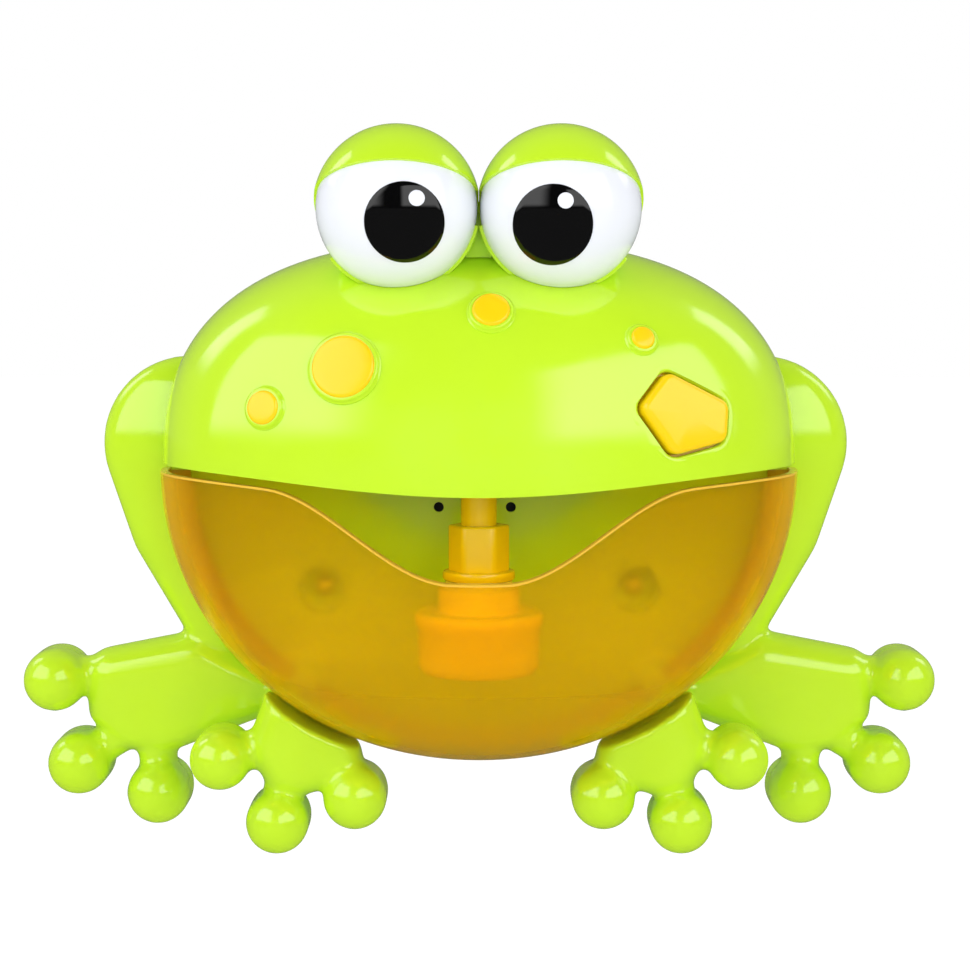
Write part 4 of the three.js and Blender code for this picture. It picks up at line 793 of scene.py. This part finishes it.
# cups of the two screw wells, closed behind
bore, floorHigh, wellDeep = backSize["wellBore"], backSize["wellFloor"], backSize["wellDeep"]
outer = wr + backSize["wellWall"]
wellProfile = [(0, 0), (bore, 0), (bore, floorHigh), (wr, floorHigh), (wr, wellDeep), (outer, wellDeep),
               (outer, -floorHigh), (0, -floorHigh)]
wells = []
for side in (-1, 1):
    place = Matrix.Translation((side * wx, backSize["wellBack"], wz))
    wells.append(turned(wellProfile, 48, place @ Matrix.Rotation(math.radians(90), 4, "X")))
addPiece("screw_wells", joined(wells), "frog_body", greenAbs)
print("body made")

# Front legs: melted, scooped for the bowl, parted front and back

slideAngle = math.radians(bowlSize["slideAngle"])
slide = Vector((0, -math.cos(slideAngle), -math.sin(slideAngle)))


def bowlSweep(gap):
    bm = superDome({**bowlSize, "around": 80, "rings": 40}, gap)
    sliced(bm, (0, bowlSize["back"] + 1, 0), (0, 1, 0))
    for v in bm.verts[:]:
        bm.verts.new(v.co + slide * bowlSize["slide"])
    return hullOf(bm)


legSize = {"scoop": 0.6, "voxel": 0.7, "firstSoften": 3, "soften": 8, "seam": 0.12, "back": -34.3}
for side, word in ((-1, "left"), (1, "right")):
    parts = [limb(limbSize["frontLeg"], side, limbSize["frontY"])]
    for root, ball, radius in limbSize["frontToes"]:
        parts += toe(root, ball, radius, side, limbSize["frontY"])
    leg = melted(joined(parts), legSize["voxel"], legSize["firstSoften"])
    leg = cutBy(leg, bowlSweep(legSize["scoop"]))
    leg = melted(leg, legSize["voxel"], legSize["soften"])
    y = limbSize["frontY"]
    half = legSize["seam"] / 2
    back = keptIn(leg.copy(), boxShape((-far, y + half, -far), (far, legSize["back"], far)))
    front = keptIn(leg, boxShape((-far, -far, -far), (far, y - half, far)))
    addPiece("front_leg_back_" + word, back, "frog_body", greenAbs, ["front_leg_%s_back" % word])
    addPiece("front_leg_front_" + word, front, "frog_body", greenAbs, ["front_leg_%s_front" % word])
print("front legs made")

# Air path: duct, hexagonal sleeve with its collar, and diffuser cup; the roof plate and the diffuser's plate stay as
# they come from model.glb

airSize = {
    "y": -63.5, "bore": 5.3,
    "duct": [(3.4, 10.5), (8.4, 10.5), (8.4, 8.9), (5.1, 8.9), (5.1, -18), (3.4, -18)],
    "sleeveRadius": 9, "sleeveLength": 13, "sleeveZ": -16, "sleeveCorner": 1.3, "sleeveEdge": 0.6,
    "collar": [(5.3, -22.4), (9.3, -22.4), (10.1, -22.7), (10.3, -23.2), (10.3, -24.6), (9.9, -25.1), (5.3, -25.1)],
    "cup": [(3.4, -25.4), (9.6, -25.4), (9.6, -27), (10.9, -27.1), (11.5, -27.6), (11.6, -28.4), (11.6, -34.0),
            (15.6, -34.3), (16.8, -34.1), (17.8, -34.5), (18.3, -35.4), (18.2, -37.6), (17.5, -38.6),
            (17.2, -48.6), (16.8, -50.4), (15.9, -51.4), (15.4, -51.5), (15.4, -48.4), (13.6, -48.4),
            (13.6, -35.9), (3.4, -35.9)],
}
airPlace = Matrix.Translation((0, airSize["y"], 0))
duct = turned(airSize["duct"], 64, airPlace, closed=True)
addPiece("duct_tube", duct, "frog_body", yellowAbs, ["air_duct"], bevel=0.3)
sleeve = bmesh.new()
bmesh.ops.create_cone(sleeve, cap_ends=True, segments=6, radius1=airSize["sleeveRadius"],
                      radius2=airSize["sleeveRadius"], depth=airSize["sleeveLength"],
                      matrix=Matrix.Translation((0, 0, airSize["sleeveZ"])) @ Matrix.Rotation(math.pi / 6, 4, "Z"))
uprights = [e for e in sleeve.edges if abs(e.verts[0].co.z - e.verts[1].co.z) > 1]
rounded(sleeve, uprights, airSize["sleeveCorner"], 5)
sleeveTop = airSize["sleeveZ"] + airSize["sleeveLength"] / 2
tops = [e for e in sleeve.edges if min(v.co.z for v in e.verts) > sleeveTop - 0.1]
rounded(sleeve, tops, airSize["sleeveEdge"], 3)
bmesh.ops.translate(sleeve, vec=(0, airSize["y"], 0), verts=sleeve.verts)
bore = airSize["bore"]
sleeve = cutBy(sleeve, turned([(0, -40), (bore, -40), (bore, 40), (0, 40)], 48, airPlace))
collar = turned(airSize["collar"], 64, airPlace, closed=True)
addPiece("sleeve_body", joined([sleeve, collar]), "frog_body", yellowAbs, ["nozzle_sleeve"])
cup = turned(airSize["cup"], 96, airPlace, closed=True)
addPiece("cup_body", cup, "frog_body", yellowAbsPaintedLighter, ["diffuser_cup"])
print("air path made")

# Suction cups, screws and battery door

# (radius, height) from the middle of the sucking face, over its lip and down the neck to the barb
suckerProfile = [
    (0, -2.6), (3, -2.5), (6, -2.2), (9, -1.6), (11.5, -0.7), (13.2, -0.1), (14, 0), (15.8, 0), (16, -0.2),
    (16, -0.6), (15.7, -0.95), (14, -1.5), (11, -2.6), (8, -3.6), (6.2, -4.3), (5.3, -5.2), (5, -6.2), (5, -7.7),
    (3.4, -7.7), (3.4, -10.5), (4.6, -10.5), (4.6, -11.4), (3.6, -12.3), (0, -13.1),
]
for i, (x, z) in enumerate(backSize["cups"]):
    sucker = turned(suckerProfile, 72, Matrix.Translation((x, 0, z)) @ alongY)
    addPiece("sucker_%d" % (i + 1), sucker, "frog_body", clearPvc, ["suction_cup_%d" % (i + 1)])


# A pan-head screw with a cross recess, pointing along +Z or -Z of its matrix
def screwShape(length):
    head = [(0, 1.8), (1.6, 1.75), (2.4, 1.45), (2.9, 0.9), (3, 0.4), (3, 0)]
    shank = [(1.3, 0), (1.3, -length + 1.2), (0, -length)]
    body = turned(head + shank, 40, Matrix.Identity(4))
    long, narrow, deepest = 1.7, 0.32, 0.7
    for slot in ((long, narrow), (narrow, long)):
        body = cutBy(body, boxShape((-slot[0], -slot[1], deepest), (slot[0], slot[1], 3)))
    return body


# body, place, the way the head faces along Y, and length
screwSize = {
    "door_screw": ("battery_door", 34.8, -8.7, -22, 1, 10),
    "case_screw_left": ("frog_body", -71.8, -11.7, 32, 1, 18),
    "case_screw_right": ("frog_body", 71.8, -11.7, 32, 1, 18),
    "belly_screw_left": ("frog_body", -46.9, -23.65, -32.3, -1, 12),
    "belly_screw_right": ("frog_body", 46.9, -23.65, -32.3, -1, 12),
}
for name, (body, x, y, z, facing, length) in screwSize.items():
    turn = Matrix.Rotation(math.radians(-90 * facing), 4, "X")
    shape = screwShape(length)
    bmesh.ops.transform(shape, matrix=Matrix.Translation((x, y, z)) @ turn, verts=shape.verts)
    addPiece(name + "_turned", shape, body, steel, [name])

doorSize = {
    "half": (25.7, 21.2), "z": -22, "tab": 39.4, "tabHalf": 4.6, "y": (-10.2, -8), "corner": 1.2, "edge": 0.5,
    "screwX": 34.8, "seat": 3.4, "seatY": -9, "bore": 1.7,
    "grips": 5, "gripX": (-20, -8), "gripLow": -8, "gripPitch": 4, "gripHalf": 0.7, "gripY": -8.6,
}
door = bmesh.new()
hx, hz = doorSize["half"]
outline = [(-hx, -hz), (hx, -hz), (hx, -doorSize["tabHalf"]), (doorSize["tab"], -doorSize["tabHalf"]),
           (doorSize["tab"], doorSize["tabHalf"]), (hx, doorSize["tabHalf"]), (hx, hz), (-hx, hz)]
doorFace = door.faces.new([door.verts.new((x, doorSize["y"][0], doorSize["z"] + z)) for x, z in outline])
extruded(door, [doorFace], (0, doorSize["y"][1] - doorSize["y"][0], 0))
bmesh.ops.recalc_face_normals(door, faces=door.faces)
uprights = [e for e in door.edges if abs(e.verts[0].co.y - e.verts[1].co.y) > 1]
rounded(door, uprights, doorSize["corner"], 4)
rims = [e for e in door.edges if min(v.co.y for v in e.verts) > doorSize["y"][1] - 0.01 and len(e.link_faces) == 2
        and e.calc_face_angle(0) > 0.5]
rounded(door, rims, doorSize["edge"], 3)
door = cutBy(door, barShape(doorSize["screwX"], doorSize["z"], doorSize["seatY"], 0, doorSize["seat"]))
door = cutBy(door, barShape(doorSize["screwX"], doorSize["z"], -20, 0, doorSize["bore"], 24))
grips = []
for i in range(doorSize["grips"]):
    z = doorSize["z"] + doorSize["gripLow"] + doorSize["gripPitch"] * i
    grips.append(boxShape((doorSize["gripX"][0], doorSize["gripY"], z - doorSize["gripHalf"]),
                          (doorSize["gripX"][1], 0, z + doorSize["gripHalf"])))
door = cutBy(door, joined(grips))
addPiece("door_panel", door, "battery_door", greenAbs, ["battery_door"])
print("back made")

# CAD nodes that stay get the materials
keptNodes = {
    "mouth_roof": greenAbs, "diffuser_plate": yellowAbs, "impeller": yellowAbs, "switch_plunger": darkAbs,
    "switch_body": darkAbs, "blower_housing": darkAbs, "blower_cover": darkAbs, "speaker": darkAbs,
    "battery_box": darkAbs, "door_gasket": nitrileRubber, "motor": steel, "motor_shaft": steel,
    "circuit_board": maskedBoard,
    **{"cell_%d" % i: cellWrap for i in (1, 2, 3)}, **{"cell_spring_%d" % i: steel for i in (1, 2, 3)},
    **{"%s_screw_%s" % (kind, word): steel for kind in ("head", "leg") for word in ("left", "right")},
}
for name, material in keptNodes.items():
    nodes[name].data.materials.clear()
    nodes[name].data.materials.append(material)

# Floor, light panels and surroundings

stageSize = {
    "floorZ": -0.19, "floorHalf": 6.0, "paper": "#f4f5f6", "roughness": 0.9,
    "glow": [(0.85, 1.12), (1.0, 2.6), (1.0, 0.12)],  # share and strength for each kind of ray, in rayKinds' order
}
floorMesh = bmesh.new()
bmesh.ops.create_grid(floorMesh, x_segments=1, y_segments=1, size=stageSize["floorHalf"],
                      matrix=Matrix.Translation((0, 0, stageSize["floorZ"])))
floorData = bpy.data.meshes.new("floor")
floorMesh.to_mesh(floorData)
floorMesh.free()
floor = bpy.data.objects.new("floor", floorData)
bpy.context.scene.collection.objects.link(floor)
paper, tree, shader, place = startMaterial("white_paper", {
    "Roughness": stageSize["roughness"], "Base Color": (*linear(stageSize["paper"]), 1)})


# The kinds of ray: from the camera, through the bowl, and mirrored by a shiny surface
def rayKinds(tree):
    kind = addNode(tree, "ShaderNodeLightPath")
    return [kind.outputs["Is %s Ray" % word] for word in ("Camera", "Transmission", "Glossy")]


mixed = shader.outputs[0]
for chosen, (share, strength) in zip(rayKinds(tree), stageSize["glow"]):
    part = addNode(tree, "ShaderNodeMath", {"operation": "MULTIPLY"}, {0: chosen, 1: share})
    light = addNode(tree, "ShaderNodeEmission", None, {"Color": (1, 1, 1, 1), "Strength": strength})
    mixed = addNode(tree, "ShaderNodeMixShader", None, {0: part.outputs[0], 1: mixed, 2: light.outputs[0]}).outputs[0]
tree.links.new(mixed, tree.nodes["Material Output"].inputs["Surface"])
floor.data.materials.append(paper)

# two big panels beside the camera with soft edges towards it and below, two strips for the sides, and a low
# fill in front that lights the mouth and isn't mirrored
panels = {
    "panel_left": {"azimuth": -50, "distance": 1.1, "inner": 36, "outer": 34, "low": 0.05, "high": 1.28,
                   "radiance": 1.95, "fade": 0.3, "rise": 0.1},
    "panel_right": {"azimuth": 60, "distance": 1.1, "inner": 54, "outer": 14, "low": 0.05, "high": 1.02,
                    "radiance": 1.95, "fade": 0.18, "rise": 0.12},
    "strip_left": {"azimuth": -112, "distance": 1.1, "inner": 10, "outer": 10, "low": 0.35, "high": 1.25,
                   "radiance": 2.2, "fade": 0.3, "rise": 0.3},
    "strip_right": {"azimuth": 112, "distance": 1.1, "inner": 10, "outer": 10, "low": 0.35, "high": 1.25,
                    "radiance": 2.2, "fade": 0.3, "rise": 0.3},
    "front_fill": {"azimuth": 0, "distance": 1.0, "inner": 18, "outer": 18, "low": -0.12, "high": 0.3,
                   "radiance": 2.4, "fade": 0.1, "rise": 0.1},
}


# How much of a panel's light a place on it gives: none at one edge, all of it past a share of the way in
def softEdge(tree, along, share, fromFarEnd):
    ends = (1.0, 1.0 - share) if fromFarEnd else (0.0, share)
    return addNode(tree, "ShaderNodeMapRange", {"interpolation_type": "SMOOTHSTEP"},
                   {0: along, 1: ends[0], 2: ends[1], 3: 0.0, 4: 1.0}).outputs[0]


for name, panel in panels.items():
    light = bpy.data.lights.new(name, "AREA")
    light.shape = "RECTANGLE"
    inner = panel["distance"] * math.tan(math.radians(panel["inner"]))
    outer = panel["distance"] * math.tan(math.radians(panel["outer"]))
    light.size = inner + outer
    light.size_y = panel["high"] - panel["low"]
    light.energy = panel["radiance"] * math.pi * light.size * light.size_y
    light.use_nodes = True
    lightTree = light.node_tree
    place = addNode(lightTree, "ShaderNodeSeparateXYZ", None,
                    {0: addNode(lightTree, "ShaderNodeNewGeometry").outputs["Parametric"]})
    both = addNode(lightTree, "ShaderNodeMath", {"operation": "MULTIPLY"}, {
        0: softEdge(lightTree, place.outputs[0], panel["fade"], panel["azimuth"] < 0),
        1: softEdge(lightTree, place.outputs[1], panel["rise"], False)})
    lightTree.links.new(both.outputs[0], lightTree.nodes["Emission"].inputs["Strength"])
    lamp = bpy.data.objects.new(name, light)
    angle = math.radians(panel["azimuth"])
    toPanel = Vector((math.sin(angle), -math.cos(angle), 0))
    outward = Vector((math.cos(angle), math.sin(angle), 0)) * math.copysign(1, panel["azimuth"])
    lamp.location = (toPanel * panel["distance"] + outward * (outer - inner) / 2
                     + Vector((0, -0.05, (panel["low"] + panel["high"]) / 2)))
    lamp.rotation_euler = toPanel.to_track_quat("Z", "Y").to_euler()
    lamp.visible_glossy = name != "front_fill"
    bpy.context.scene.collection.objects.link(lamp)

# white all round: bright behind the object, less on the camera's side, and dim where a shiny surface mirrors it
worldSize = {"front": 0.3, "behind": 0.9, "mirroredFront": 0.04, "mirroredBehind": 0.22, "through": 2.6}
world = bpy.data.worlds.new("studio")
bpy.context.scene.world = world
world.use_nodes = True
tree = world.node_tree
background = tree.nodes["Background"]
direction = addNode(tree, "ShaderNodeTexCoord").outputs["Generated"]
split = addNode(tree, "ShaderNodeSeparateXYZ", None, {0: direction})
lit, dim = [addNode(tree, "ShaderNodeMapRange", None,
                    {0: split.outputs[1], 1: -0.25, 2: 0.35, 3: worldSize[front], 4: worldSize[behind]}).outputs[0]
            for front, behind in (("front", "behind"), ("mirroredFront", "mirroredBehind"))]
seen, through, mirrored = rayKinds(tree)
either = addNode(tree, "ShaderNodeMix", {"data_type": "FLOAT"}, {0: mirrored, 2: lit, 3: dim})
inner = addNode(tree, "ShaderNodeMix", {"data_type": "FLOAT"},
                {0: through, 2: either.outputs[0], 3: worldSize["through"]})
strength = addNode(tree, "ShaderNodeMix", {"data_type": "FLOAT"}, {0: seen, 2: inner.outputs[0], 3: 1.0})
tree.links.new(strength.outputs[0], background.inputs["Strength"])
background.inputs["Color"].default_value = (1, 1, 1, 1)
bpy.context.scene.view_settings.view_transform = "Standard"
print("stage made")
